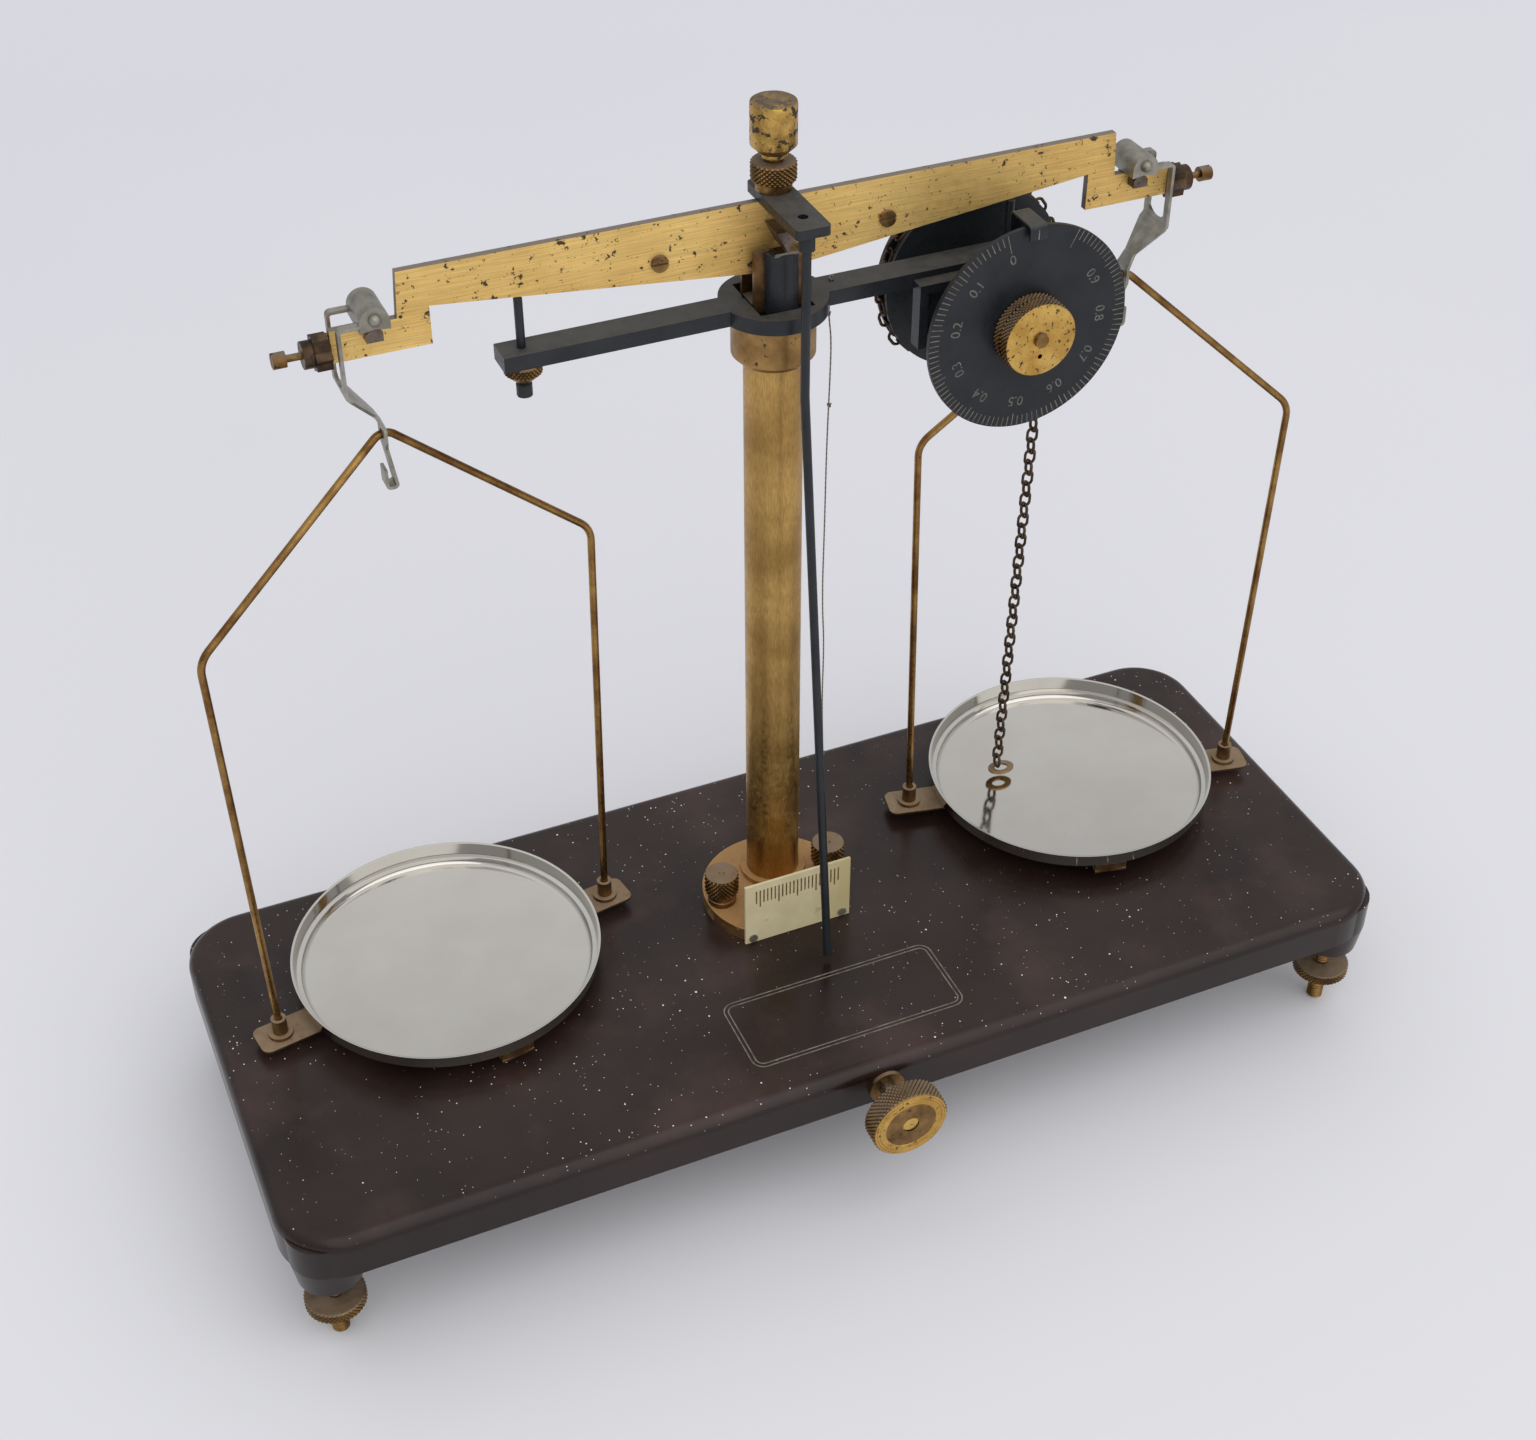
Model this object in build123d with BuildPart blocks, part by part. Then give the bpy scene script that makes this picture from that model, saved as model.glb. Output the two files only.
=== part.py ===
from build123d import *
from math import asin, cos, hypot, pi, radians, sin, tan
import os

# Chemical balance, in millimetres. The origin is on the floor, under the middle of its whole box.
# +X runs along the beam to the right, +Y to the back and +Z up. It stands released: the beam swings.

# Clearances
running_gap = 0.05      # a shaft or a screw in its bore, on each side
knife_gap = 0.1         # a knife edge and the bearing that it carries or rests on
loose_gap = 0.3         # faces of two pieces that pass each other
cut_margin = 1          # how far a cutting shape reaches past the solid
clear_hole_gap = 0.25   # round a rod that passes through a hole without touching

# Base moulding
base_length = 413.6
base_width = 164.2
base_thickness = 16.5
base_wall = 4
base_corner = 22
base_edge_round = 5
stand_height = 57       # from the floor to the top of the base
boss_inset = 14.3       # a corner boss's middle from both edges
boss_radius = 12.5
boss_tip_radius = 11
boss_length = 10.5

# Feet
screw_radius = 2.95
screw_tip_radius = 1.5
screw_tip_length = 2
screw_engagement = 16
foot_disc_radius = 10.4
foot_disc_thickness = 4
foot_disc_height = 14.2
rear_foot_pad_radius = 10
rear_foot_pad_thickness = 6
rear_foot_neck_radius = 7
rear_foot_top_radius = 10
spigot_radius = 3
spigot_length = 8

# Release: a knob on a long shaft, whose crank pin lets the lift rod down
knob_reach = 19.7       # the knob's face in front of the base
release_knob_radius = 14
release_knob_thickness = 8
knob_socket_depth = 4
knob_recess_radius = 9.5
knob_button_radius = 7
knob_recess_depth = 0.5
knurl_depth = 0.5
shaft_radius = 3
shaft_depth = 9.8       # the shaft's axis below the top of the base
shaft_tail = 20.05      # its back end behind the pillar's axis
lift_stroke = 1
crank_pin_radius = 1.5
crank_pin_length = 16
bush_radius = 5
bush_flange_radius = 6.4
bush_flange_thickness = 1.5
bush_length = 8
bearing_block_width = 12
bearing_block_length = 8
bearing_block_drop = 5
shaft_end_reach = 1     # the shaft's end behind its bearing block

# Pillar
pillar_x = 2.55
pillar_back = 20.15     # the pillar's axis behind the middle of the base
pillar_radius = 9.525
pillar_bore_radius = 7.5
pillar_length = 214.5
flange_radius = 26.7
flange_thickness = 5
flange_x = -3           # the flange's middle from the pillar's axis
flange_y = -9.3
flange_flat_y = -28.7
ring_radius = 12
ring_height = 2
collar_radius = 13.35
collar_length = 15.9
collar_chamfer = 2

# Thumb nuts on the flange
nut_spread = 21.1
stud_radius = 2
stud_length = 8
nut_collar_radius = 5.2
nut_collar_height = 5
nut_head_radius = 6.3
nut_head_height = 8

# Scale plate and its rivets
scale_width = 41
scale_height = 27
scale_thickness = 1
scale_lift = 0.2        # its lower edge above the base
rivet_spread = 17.5
rivet_height = 2.3
rivet_radius = 1.1
rivet_head_radius = 1.6
rivet_head_thickness = 0.6
rivet_length = 5

# Cross arm with the hub at its middle
arm_half_length = 88
arm_half_width = 5
arm_thickness = 5
hub_radius = 17.1
pocket_depth = 3.5
hub_hole_radius = 0.9
hub_hole_place = (-8.6, 2)
thread_hole_radius = 0.75

# Stops under the beam
stop_reach = 81
stop_radius = 1.35
stop_gap = 1.1          # from the beam's lower edge, with the beam level and released
stop_head_radius = 2.45
stop_head_thickness = 3.8
stop_head_drop = 7.2    # the head's top below the arm
stop_nut_radius = 5.95
stop_nut_thickness = 5.6
stop_nut_shoulder = 1.6
stop_nut_shoulder_radius = 4.95
slot_width = 0.7
slot_depth = 0.7

# Lift rod and fork
lift_rod_radius = 3
rod_foot_radius = 7
rod_foot_thickness = 1.8
crank_gap = 0.3         # the crank pin below the rod's foot
fork_half_length = 8.7
fork_cheek_gap = 4      # from the middle plane to a cheek
fork_cheek_thickness = 1.5
fork_floor_thickness = 2.5
cheek_drop = 1          # a cheek's top below the knife edge
fork_post_radius = 5.4
knife_plane_thickness = 1.2
knife_plane_half_length = 4
knife_plane_width = 4.4
knife_plane_setback = 2.4   # its middle from the cheek

# Beam, with its heights measured from the line of its knife edges
knife_rise = 18.8       # the knife edges above the cross arm
beam_thickness = 2.5
beam_top = 13.35
shoulder_setback = 8.6  # from an end knife back to the upper end of the step
step_setback = 7.7      # and to its lower end
beam_ledge = -1
end_overhang = 12.1     # from an end knife on to the end
beam_bottom = -11.1
notch_setback = 17.4
beam_notch_top = 1
beam_belly = -9.7
beam_belly_half_length = 6.8
knife_reach = 125
centre_knife_height = 7
centre_knife_half_width = 3.5
centre_knife_half_length = 11
end_knife_height = 5
end_knife_half_width = 2.5
end_knife_half_length = 5
beam_screw_reach = 37.3
beam_screw_radius = 2.7
beam_screw_head = 1.2
beam_screw_shank_radius = 1.2

# End screws and balance nuts
end_screw_height = -7.3
end_screw_radius = 1.1
end_screw_length = 12.9
end_head_radius = 2.4
end_head_length = 4
balance_nut_radius = 5.7
balance_nut_length = 7.9
balance_nut_gap = 0.4
lobe_count = 8
lobe_depth = 1.1
lobe_length = 4.74      # the rest of the nut is a plain hub
balance_hub_radius = 4.1

# Bridge plate, pointer and gravity bob
bridge_width = 11.1
bridge_thickness = 3.05
bridge_front = -29.5
bridge_back = 7.9
bridge_corner = 1.5
bridge_hole_radius = 1.6
bridge_hole_y = -21.2
pointer_radius = 1.45
pointer_y = -24
pointer_bend = -41.8    # below the knife line
pointer_bend_radius = 14
pointer_tip_y = -48.7
pointer_tip_height = 3.1   # above the base
pointer_boss_radius = 2.5
pointer_boss_length = 6
bob_collar_radius = 5.65
bob_collar_height = 2.8
bob_stud_radius = 3
bob_stud_length = 23
bob_radius = 7.55
bob_nut_height = 6
bob_neck_radius = 4.15
bob_neck_height = 1.2
bob_height = 17.2
bob_chamfer = 2.5
bob_bore_radius = 5.4

# Hangers that ride on the end knives
saddle_half_width = 4.5
saddle_half_length = 7
saddle_skirt = 0.6      # its lower edges below the knife edge
saddle_side = 2.2
saddle_top = 6.5
saddle_pin_radius = 1.6
saddle_pin_height = 3
saddle_pin_back = 9.5
saddle_pin_front = 7.2
saddle_ball_radius = 1.9
strap_thickness = 1
strap_bend = 1.1
strap_leg_inset = 1.5   # the legs' middle inside the beam's end
strap_tuck = 0.8        # the legs' upper bend below the saddle's sides
strap_half_width = 7
strap_neck_half_width = 2.6
strap_eye_half_width = 3.5
strap_tail_half_width = 2.5
window_half_width = 4.5
window_bottom = -19
window_arch = 2
lip_length = 3.2
lip_top = -49
tail_bend = (-2.2, -55.3)   # the lowest bend of the tail
tail_end = -58
strap_bends = [(2, -30.5), (0, -34.5), (0, -41)]    # from the leg's foot down to the tail
leg_foot = -20
neck_heights = (-21.5, -30, -35.5, -39.5, -42)      # where the strap's outline changes width
hook_drop = 37.5        # the bow's wire below the knife edge

# Bows
wire_radius = 1.25
bow_eye_gap = 0.35
bow_bend = 5
shoulder_bend = 10
shoulder_half_width = 66.5
shoulder_drop = 57.4
foot_half_width = 63.5
foot_seat = 1.9         # its ends above the strips that carry the pan
bow_turn = {"left": 9.3, "right": -12}

# Pan supports and pans
pan_lift = 4.8          # the strips' top above the base
strip_thickness = 0.8
strip_width = 13
strip_end = 8.5         # beyond the bow's foot
strip_corner = 3
cross_strip_width = 12
tab_height = 2.7        # above the strip
tab_play = 0.3          # round the pan
ferrule_radius = 2.6
ferrule_height = 7.4
ferrule_foot_radius = 4.3
ferrule_foot_height = 1.3
ferrule_gap = 0.15      # round the wire, which leans a little
pan_wall = 0.8
pan_radius = 54.1
pan_height = 8.4
pan_step_height = 2.9
pan_step_radius = 51.8
pan_shoulder_radius = 53.3
pan_bottom_round = 2.5

# Dial, with the heights of its bracket and its index tab measured from its axis
dial_x = 73.8
dial_drop = 13.4        # its axis below the top of the cross arm
dial_radius = 34.5
dial_thickness = 1.5
dial_front = -28.5
dial_knob_radius = 12.35
dial_knob_thickness = 8.5
set_hole_radius = 0.8
set_hole_drop = 5.6     # below the dial's axis
set_hole_depth = 2
spindle_reach = 1       # behind the drum
spindle_radius = 2.2
spindle_front = -38
bearing_tube_radius = 3
bracket_left = 45.4
bracket_right = 102
bracket_bottom = -10.7
bracket_top = 11.2
bracket_depth = 5
bracket_wall = 3
bracket_back_wall = 2
tab_width = 9.5
tab_top = 37.5
tab_leg_y = -18
tab_front_y = -30.5
tab_tip = 33
tab_bend = 1.5
tab_foot = 0.5          # the tab's foot in front of the arm

# Drum and chain
drum_front = 8
drum_width = 8
drum_groove_radius = 28.5
drum_flange_radius = 31
drum_flange_thickness = 1.5
drum_web_thickness = 3
drum_rim_thickness = 3
drum_hub_radius = 6
chain_wire = 1
chain_width = 4.5
link_inner_length = 4.5
link_play = 0.1
link_corner = 1.3
chain_radius = 31
wrapped_links = 28
chain_lean = 5          # the foot of the chain is this much left of its top
clasp_length = 12.5
clasp_width = 7.5
clasp_thickness = 1
clasp_height = 9        # above the base
clasp_eye_radius = 1.6
clasp_eye_wall = 1
clasp_corner = 1.5

# Plumb thread: its points from the pillar's axis and the top of the cross arm, chosen by hand
thread_diameter = 0.5
thread_route = [
    (20.1, 1.5, 0),
    (19.7, 1.5, -6.0),
    (19.5, 1.5, -12.0),
    (20.7, 1.6, -21.0),
    (20.3, 1.5, -37.4),
    (19.6, 1.4, -60.4),
    (19.45, 1.5, -90.4),
    (19.0, 1.5, -120.4),
    (20.2, 1.6, -140.4),
    (19.6, 1.5, -166.4),
    (20.5, 1.6, -187.9),
]
knot_radius = 1

# Places that follow from the sizes above
base_y = knob_reach / 2
base_top = stand_height
base_bottom = base_top - base_thickness
base_roof = base_top - base_wall
base_front = base_y - base_width / 2
pillar_y = base_y + pillar_back
boss_x = base_length / 2 - boss_inset
boss_y = base_width / 2 - boss_inset
boss_bottom = base_bottom - boss_length
shaft_z = base_top - shaft_depth
flange_top = base_top + flange_thickness
collar_bottom = flange_top + pillar_length
arm_bottom = collar_bottom + collar_length
arm_top = arm_bottom + arm_thickness
knife_line = arm_top + knife_rise
beam_shoulder = knife_reach - shoulder_setback
beam_step = knife_reach - step_setback
beam_notch = knife_reach - notch_setback
beam_end = knife_reach + end_overhang
strip_top = base_top + pan_lift
dial_z = arm_top - dial_drop
bow_line = knife_line - hook_drop
foot_drop = bow_line - strip_top - foot_seat
bridge_top = knife_line + beam_top + bridge_thickness
link_pitch = link_inner_length - link_play
sides = {"left": -1, "right": 1}


def level(x, y, z):
    """A level plane that faces up, placed from the pillar's axis."""
    return Plane(origin=(pillar_x + x, pillar_y + y, z))


def facing(x, y, z):
    """An upright plane that faces the front, placed from the pillar's axis."""
    return Plane(origin=(pillar_x + x, pillar_y + y, z), x_dir=(1, 0, 0), z_dir=(0, -1, 0))


def across(x, y, z):
    """An upright plane that faces right, placed from the pillar's axis."""
    return Plane(origin=(pillar_x + x, pillar_y + y, z), x_dir=(0, 1, 0), z_dir=(1, 0, 0))


def bar(plane, radius, length, mode=Mode.ADD):
    """A round bar, or with Mode.SUBTRACT a round hole, that stands on a plane."""
    with BuildSketch(plane) as section:
        Circle(radius)
    extrude(section.sketch, amount=length, mode=mode)


def knurled_bar(plane, radius, teeth, depth, length):
    """A bar with knurls or lobes round it."""
    with BuildSketch(plane) as section:
        Polygon(
            *[
                (
                    (radius - depth * (k % 2)) * cos(pi * k / teeth),
                    (radius - depth * (k % 2)) * sin(pi * k / teeth),
                )
                for k in range(2 * teeth)
            ],
            align=None,
        )
    extrude(section.sketch, amount=length)


def slot_cut(plane, length):
    """A screwdriver slot, cut back from a plane into a screw's head."""
    with BuildSketch(plane) as slot:
        Rectangle(length, slot_width)
    extrude(slot.sketch, amount=-slot_depth, mode=Mode.SUBTRACT)


# Base: a hollow moulding with a boss under each corner
boss_places = [(x * boss_x, base_y + y * boss_y) for x in (-1, 1) for y in (-1, 1)]
front_bosses = [place for place in boss_places if place[1] < base_y]
rear_bosses = [place for place in boss_places if place[1] > base_y]
nut_places = [(flange_x + side * nut_spread, flange_y) for side in (-1, 1)]
with BuildPart() as base_moulding:
    with BuildSketch(Plane(origin=(0, base_y, base_bottom))):
        RectangleRounded(base_length, base_width, base_corner)
    extrude(amount=base_thickness)
    fillet(base_moulding.faces().sort_by(Axis.Z)[-1].edges(), base_edge_round)
    with BuildSketch(Plane(origin=(0, base_y, base_bottom))):
        RectangleRounded(
            base_length - 2 * base_wall, base_width - 2 * base_wall, base_corner - base_wall
        )
    extrude(amount=base_thickness - base_wall, mode=Mode.SUBTRACT)
    for x, y in boss_places:
        bar(Plane(origin=(x, y, base_bottom)), boss_radius, base_thickness - base_wall)
        with BuildSketch(Plane(origin=(x, y, base_bottom))):
            Circle(boss_radius)
        with BuildSketch(Plane(origin=(x, y, boss_bottom))):
            Circle(boss_tip_radius)
        loft()
    for x, y in front_bosses:
        bar(
            Plane(origin=(x, y, boss_bottom)),
            screw_radius + running_gap,
            base_roof - boss_bottom,
            Mode.SUBTRACT,
        )
    for x, y in rear_bosses:
        bar(Plane(origin=(x, y, boss_bottom)), spigot_radius, spigot_length, Mode.SUBTRACT)
    for x, y in nut_places:
        bar(level(x, y, base_roof), stud_radius, base_wall, Mode.SUBTRACT)
    bar(level(0, 0, base_roof), lift_rod_radius + clear_hole_gap, base_wall, Mode.SUBTRACT)
    front_wall = Plane(origin=(0, base_front, shaft_z), x_dir=(1, 0, 0), z_dir=(0, -1, 0))
    bar(front_wall, bush_radius, -base_wall, Mode.SUBTRACT)
base_moulding.part.label = "base_moulding"
export_step(base_moulding.part, "parts/base_moulding.step")

# Rear feet: two plain turned feet on spigots
with BuildPart() as rear_feet:
    for x, y in rear_bosses:
        bar(Plane(origin=(x, y, 0)), rear_foot_pad_radius, rear_foot_pad_thickness)
        with BuildSketch(Plane(origin=(x, y, rear_foot_pad_thickness))):
            Circle(rear_foot_neck_radius)
        with BuildSketch(Plane(origin=(x, y, boss_bottom))):
            Circle(rear_foot_top_radius)
        loft()
        bar(Plane(origin=(x, y, boss_bottom)), spigot_radius, spigot_length)
rear_feet.part.label = "rear_feet"
export_step(rear_feet.part, "parts/rear_feet.step")

# Front feet: levelling screws with a knurled disc to turn them by
for side, (x, y) in zip(sides, front_bosses):
    with BuildPart() as levelling_foot:
        with BuildSketch(Plane(origin=(x, y, 0))):
            Circle(screw_tip_radius)
        with BuildSketch(Plane(origin=(x, y, screw_tip_length))):
            Circle(screw_radius)
        loft()
        bar(
            Plane(origin=(x, y, screw_tip_length)),
            screw_radius,
            boss_bottom + screw_engagement - screw_tip_length,
        )
        knurled_bar(
            Plane(origin=(x, y, foot_disc_height)),
            foot_disc_radius,
            28,
            knurl_depth,
            foot_disc_thickness,
        )
    levelling_foot.part.label = f"levelling_foot_{side}"
    export_step(levelling_foot.part, f"parts/levelling_foot_{side}.step")

# Release shaft: its crank pin stands up at rest, and a quarter turn lays it over
knob_back = base_front - knob_reach + release_knob_thickness
shaft_front = knob_back - knob_socket_depth
shaft_back = pillar_y + shaft_tail
pin_back = pillar_y + crank_pin_length / 2


def shaft_plane(y, rise=0):
    """A plane that faces the front on the release shaft's axis."""
    return Plane(origin=(0, y, shaft_z + rise), x_dir=(1, 0, 0), z_dir=(0, -1, 0))


with BuildPart() as release_shaft:
    pin_front = pin_back - crank_pin_length
    bar(shaft_plane(pin_front), shaft_radius, pin_front - shaft_front)
    bar(shaft_plane(pin_back, lift_stroke), crank_pin_radius, crank_pin_length)
    bar(shaft_plane(shaft_back), shaft_radius, shaft_back - pin_back)
release_shaft.part.label = "release_shaft"
export_step(release_shaft.part, "parts/release_shaft.step")

with BuildPart() as release_knob:
    knurled_bar(
        shaft_plane(knob_back), release_knob_radius, 40, knurl_depth, release_knob_thickness
    )
    bar(shaft_plane(knob_back), shaft_radius, knob_socket_depth, Mode.SUBTRACT)
    knob_front = base_front - knob_reach
    bar(shaft_plane(knob_front), knob_recess_radius, -knob_recess_depth, Mode.SUBTRACT)
    bar(shaft_plane(knob_front + knob_recess_depth), knob_button_radius, knob_recess_depth)
release_knob.part.label = "release_knob"
export_step(release_knob.part, "parts/release_knob.step")

# Bearings of the shaft: a flanged bush in the front wall and a block under the roof behind
with BuildPart() as release_bearings:
    bar(shaft_plane(base_front), bush_flange_radius, bush_flange_thickness)
    bar(shaft_plane(base_front), bush_radius, -bush_length)
    block_back = shaft_back - shaft_end_reach
    with BuildSketch(shaft_plane(block_back)):
        with Locations((0, (base_roof - shaft_z - bearing_block_drop) / 2)):
            Rectangle(bearing_block_width, base_roof - shaft_z + bearing_block_drop)
    extrude(amount=bearing_block_length)
    bar(
        shaft_plane(shaft_back), shaft_radius + running_gap, shaft_back - shaft_front, Mode.SUBTRACT
    )
release_bearings.part.label = "release_bearings"
export_step(release_bearings.part, "parts/release_bearings.step")

# Pillar's flange, flat at the front for the scale plate
scale_x = flange_x
rivet_places = [(scale_x + side * rivet_spread, base_top + rivet_height) for side in (-1, 1)]
with BuildPart() as pillar_flange:
    with BuildSketch(level(0, 0, base_top)):
        with Locations((flange_x, flange_y)):
            Circle(flange_radius)
        with Locations((flange_x, flange_flat_y - flange_radius)):
            Rectangle(2 * flange_radius, 2 * flange_radius, mode=Mode.SUBTRACT)
    extrude(amount=flange_thickness)
    bar(level(0, 0, flange_top), ring_radius, ring_height)
    bar(level(0, 0, flange_top), pillar_radius, ring_height, Mode.SUBTRACT)
    bar(level(0, 0, base_top), lift_rod_radius + clear_hole_gap, flange_thickness, Mode.SUBTRACT)
    for x, y in nut_places:
        bar(level(x, y, base_top), stud_radius, flange_thickness, Mode.SUBTRACT)
    for x, z in rivet_places:
        bar(facing(x, flange_flat_y, z), rivet_radius, -rivet_length, Mode.SUBTRACT)
pillar_flange.part.label = "pillar_flange"
export_step(pillar_flange.part, "parts/pillar_flange.step")

with BuildPart() as thumb_nuts:
    for x, y in nut_places:
        bar(level(x, y, flange_top), stud_radius, -flange_thickness - stud_length)
        bar(level(x, y, flange_top), nut_collar_radius, nut_collar_height)
        knurled_bar(
            level(x, y, flange_top + nut_collar_height),
            nut_head_radius,
            24,
            knurl_depth,
            nut_head_height,
        )
thumb_nuts.part.label = "thumb_nuts"
export_step(thumb_nuts.part, "parts/thumb_nuts.step")

with BuildPart() as scale_plate:
    with BuildSketch(facing(scale_x, flange_flat_y, base_top + scale_lift + scale_height / 2)):
        Rectangle(scale_width, scale_height)
    extrude(amount=scale_thickness)
    for x, z in rivet_places:
        bar(facing(x, flange_flat_y, z), rivet_radius, scale_thickness, Mode.SUBTRACT)
scale_plate.part.label = "scale_plate"
export_step(scale_plate.part, "parts/scale_plate.step")

with BuildPart() as scale_rivets:
    for x, z in rivet_places:
        bar(facing(x, flange_flat_y + rivet_length, z), rivet_radius, rivet_length + scale_thickness)
        bar(facing(x, flange_flat_y - scale_thickness, z), rivet_head_radius, rivet_head_thickness)
scale_rivets.part.label = "scale_rivets"
export_step(scale_rivets.part, "parts/scale_rivets.step")

with BuildPart() as pillar_tube:
    bar(level(0, 0, flange_top), pillar_radius, pillar_length)
    bar(level(0, 0, flange_top), pillar_bore_radius, pillar_length, Mode.SUBTRACT)
pillar_tube.part.label = "pillar_tube"
export_step(pillar_tube.part, "parts/pillar_tube.step")

with BuildPart() as pillar_collar:
    bar(level(0, 0, collar_bottom), collar_radius, collar_length)
    chamfer(pillar_collar.edges().group_by(Axis.Z)[0], collar_chamfer)
    bar(level(0, 0, collar_bottom), lift_rod_radius + running_gap, collar_length, Mode.SUBTRACT)
pillar_collar.part.label = "pillar_collar"
export_step(pillar_collar.part, "parts/pillar_collar.step")

# Cross arm: its hub has a pocket that the fork sinks into
pocket_floor = arm_top - pocket_depth
post_reach = fork_cheek_gap + fork_cheek_thickness + fork_post_radius
with BuildPart() as cross_arm:
    with BuildSketch(level(0, 0, arm_bottom)):
        Circle(hub_radius)
        Rectangle(2 * arm_half_length, 2 * arm_half_width)
    extrude(amount=arm_thickness)
    with BuildSketch(level(0, 0, pocket_floor)):
        Rectangle(2 * (fork_half_length + loose_gap), 2 * (post_reach + loose_gap))
    extrude(amount=pocket_depth, mode=Mode.SUBTRACT)
    bar(level(0, 0, arm_bottom), lift_rod_radius + running_gap, arm_thickness, Mode.SUBTRACT)
    for side in sides.values():
        bar(
            level(side * stop_reach, 0, arm_bottom),
            stop_radius + running_gap,
            arm_thickness,
            Mode.SUBTRACT,
        )
    thread_x, thread_y, _ = thread_route[0]
    bar(level(thread_x, thread_y, arm_bottom), thread_hole_radius, arm_thickness, Mode.SUBTRACT)
    hole_x, hole_y = hub_hole_place
    bar(level(hole_x, hole_y, arm_top), hub_hole_radius, -pocket_depth / 2, Mode.SUBTRACT)
cross_arm.part.label = "cross_arm"
export_step(cross_arm.part, "parts/cross_arm.step")

# Stops: a screw from below at each end of the arm, with a knurled lock nut under the arm
belly_slope = (beam_notch_top - beam_belly) / (beam_notch - beam_belly_half_length)
beam_edge_at_stop = knife_line + beam_notch_top - (beam_notch - stop_reach) * belly_slope
stop_top = beam_edge_at_stop - stop_gap
stop_head_top = arm_bottom - stop_head_drop
for side, sign in sides.items():
    with BuildPart() as stop_screw:
        bar(level(sign * stop_reach, 0, stop_head_top), stop_radius, stop_top - stop_head_top)
        bar(level(sign * stop_reach, 0, stop_head_top), stop_head_radius, -stop_head_thickness)
        head_end = stop_head_top - stop_head_thickness
        slot_cut(level(sign * stop_reach, 0, head_end + slot_depth), 2 * stop_head_radius)
    stop_screw.part.label = f"stop_screw_{side}"
    export_step(stop_screw.part, f"parts/stop_screw_{side}.step")

with BuildPart() as stop_lock_nuts:
    for sign in sides.values():
        place = level(sign * stop_reach, 0, arm_bottom)
        bar(place, stop_nut_shoulder_radius, -stop_nut_shoulder)
        knurled_bar(
            level(sign * stop_reach, 0, arm_bottom - stop_nut_shoulder),
            stop_nut_radius,
            20,
            knurl_depth,
            stop_nut_shoulder - stop_nut_thickness,
        )
        bar(place, stop_radius + running_gap, -stop_nut_thickness, Mode.SUBTRACT)
stop_lock_nuts.part.label = "stop_lock_nuts"
export_step(stop_lock_nuts.part, "parts/stop_lock_nuts.step")

# Lift rod: its wide foot rests above the crank pin, and it carries the fork
foot_bottom = shaft_z + lift_stroke + crank_pin_radius + crank_gap
fork_bottom = pocket_floor + loose_gap + lift_stroke
with BuildPart() as lift_rod:
    bar(level(0, 0, foot_bottom), rod_foot_radius, rod_foot_thickness)
    bar(level(0, 0, foot_bottom), lift_rod_radius, fork_bottom - foot_bottom)
lift_rod.part.label = "lift_rod"
export_step(lift_rod.part, "parts/lift_rod.step")

# Fork: a brass channel that the beam swings in
cheek_face = fork_cheek_gap + fork_cheek_thickness
with BuildPart() as beam_fork:
    with BuildSketch(level(0, 0, fork_bottom)):
        Rectangle(2 * fork_half_length, 2 * cheek_face)
    extrude(amount=knife_line - cheek_drop - fork_bottom)
    with BuildSketch(level(0, 0, fork_bottom + fork_floor_thickness)):
        Rectangle(2 * fork_half_length, 2 * fork_cheek_gap)
    extrude(amount=knife_line - fork_bottom, mode=Mode.SUBTRACT)
beam_fork.part.label = "beam_fork"
export_step(beam_fork.part, "parts/beam_fork.step")

plane_seat = knife_line - knife_plane_thickness
with BuildPart() as fork_posts:
    for sign in (-1, 1):
        with BuildSketch(level(0, sign * cheek_face, fork_bottom)):
            Circle(fork_post_radius)
            with Locations((0, -sign * fork_post_radius)):
                Rectangle(
                    2 * (fork_post_radius + cut_margin), 2 * fork_post_radius, mode=Mode.SUBTRACT
                )
        extrude(amount=plane_seat - fork_bottom)
fork_posts.part.label = "fork_posts"
export_step(fork_posts.part, "parts/fork_posts.step")

with BuildPart() as knife_planes:
    for sign in (-1, 1):
        with BuildSketch(level(0, sign * (cheek_face + knife_plane_setback), plane_seat)):
            Rectangle(2 * knife_plane_half_length, knife_plane_width)
        extrude(amount=knife_plane_thickness - knife_gap)
knife_planes.part.label = "knife_planes"
export_step(knife_planes.part, "parts/knife_planes.step")

# Beam: a deep plate that tapers to its ends, with a ledge for each end knife
half_beam = [
    (beam_belly_half_length, beam_belly),
    (beam_notch, beam_notch_top),
    (beam_notch, beam_bottom),
    (beam_end, beam_bottom),
    (beam_end, beam_ledge),
    (beam_step, beam_ledge),
    (beam_shoulder, beam_top),
]
end_seat = knife_line - end_knife_height
with BuildPart() as beam_plate:
    with BuildSketch(facing(0, beam_thickness / 2, knife_line)):
        Polygon(*half_beam, *[(-x, z) for x, z in reversed(half_beam)], align=None)
        Polygon(
            (0, 0),
            (centre_knife_half_width, centre_knife_height),
            (-centre_knife_half_width, centre_knife_height),
            align=None,
            mode=Mode.SUBTRACT,
        )
        for sign in sides.values():
            with Locations((sign * knife_reach, 0)):
                Rectangle(2 * end_knife_half_width, 2 * end_knife_height, mode=Mode.SUBTRACT)
            with Locations((sign * beam_screw_reach, 0)):
                Circle(beam_screw_shank_radius, mode=Mode.SUBTRACT)
    extrude(amount=beam_thickness)
beam_plate.part.label = "beam_plate"
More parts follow.
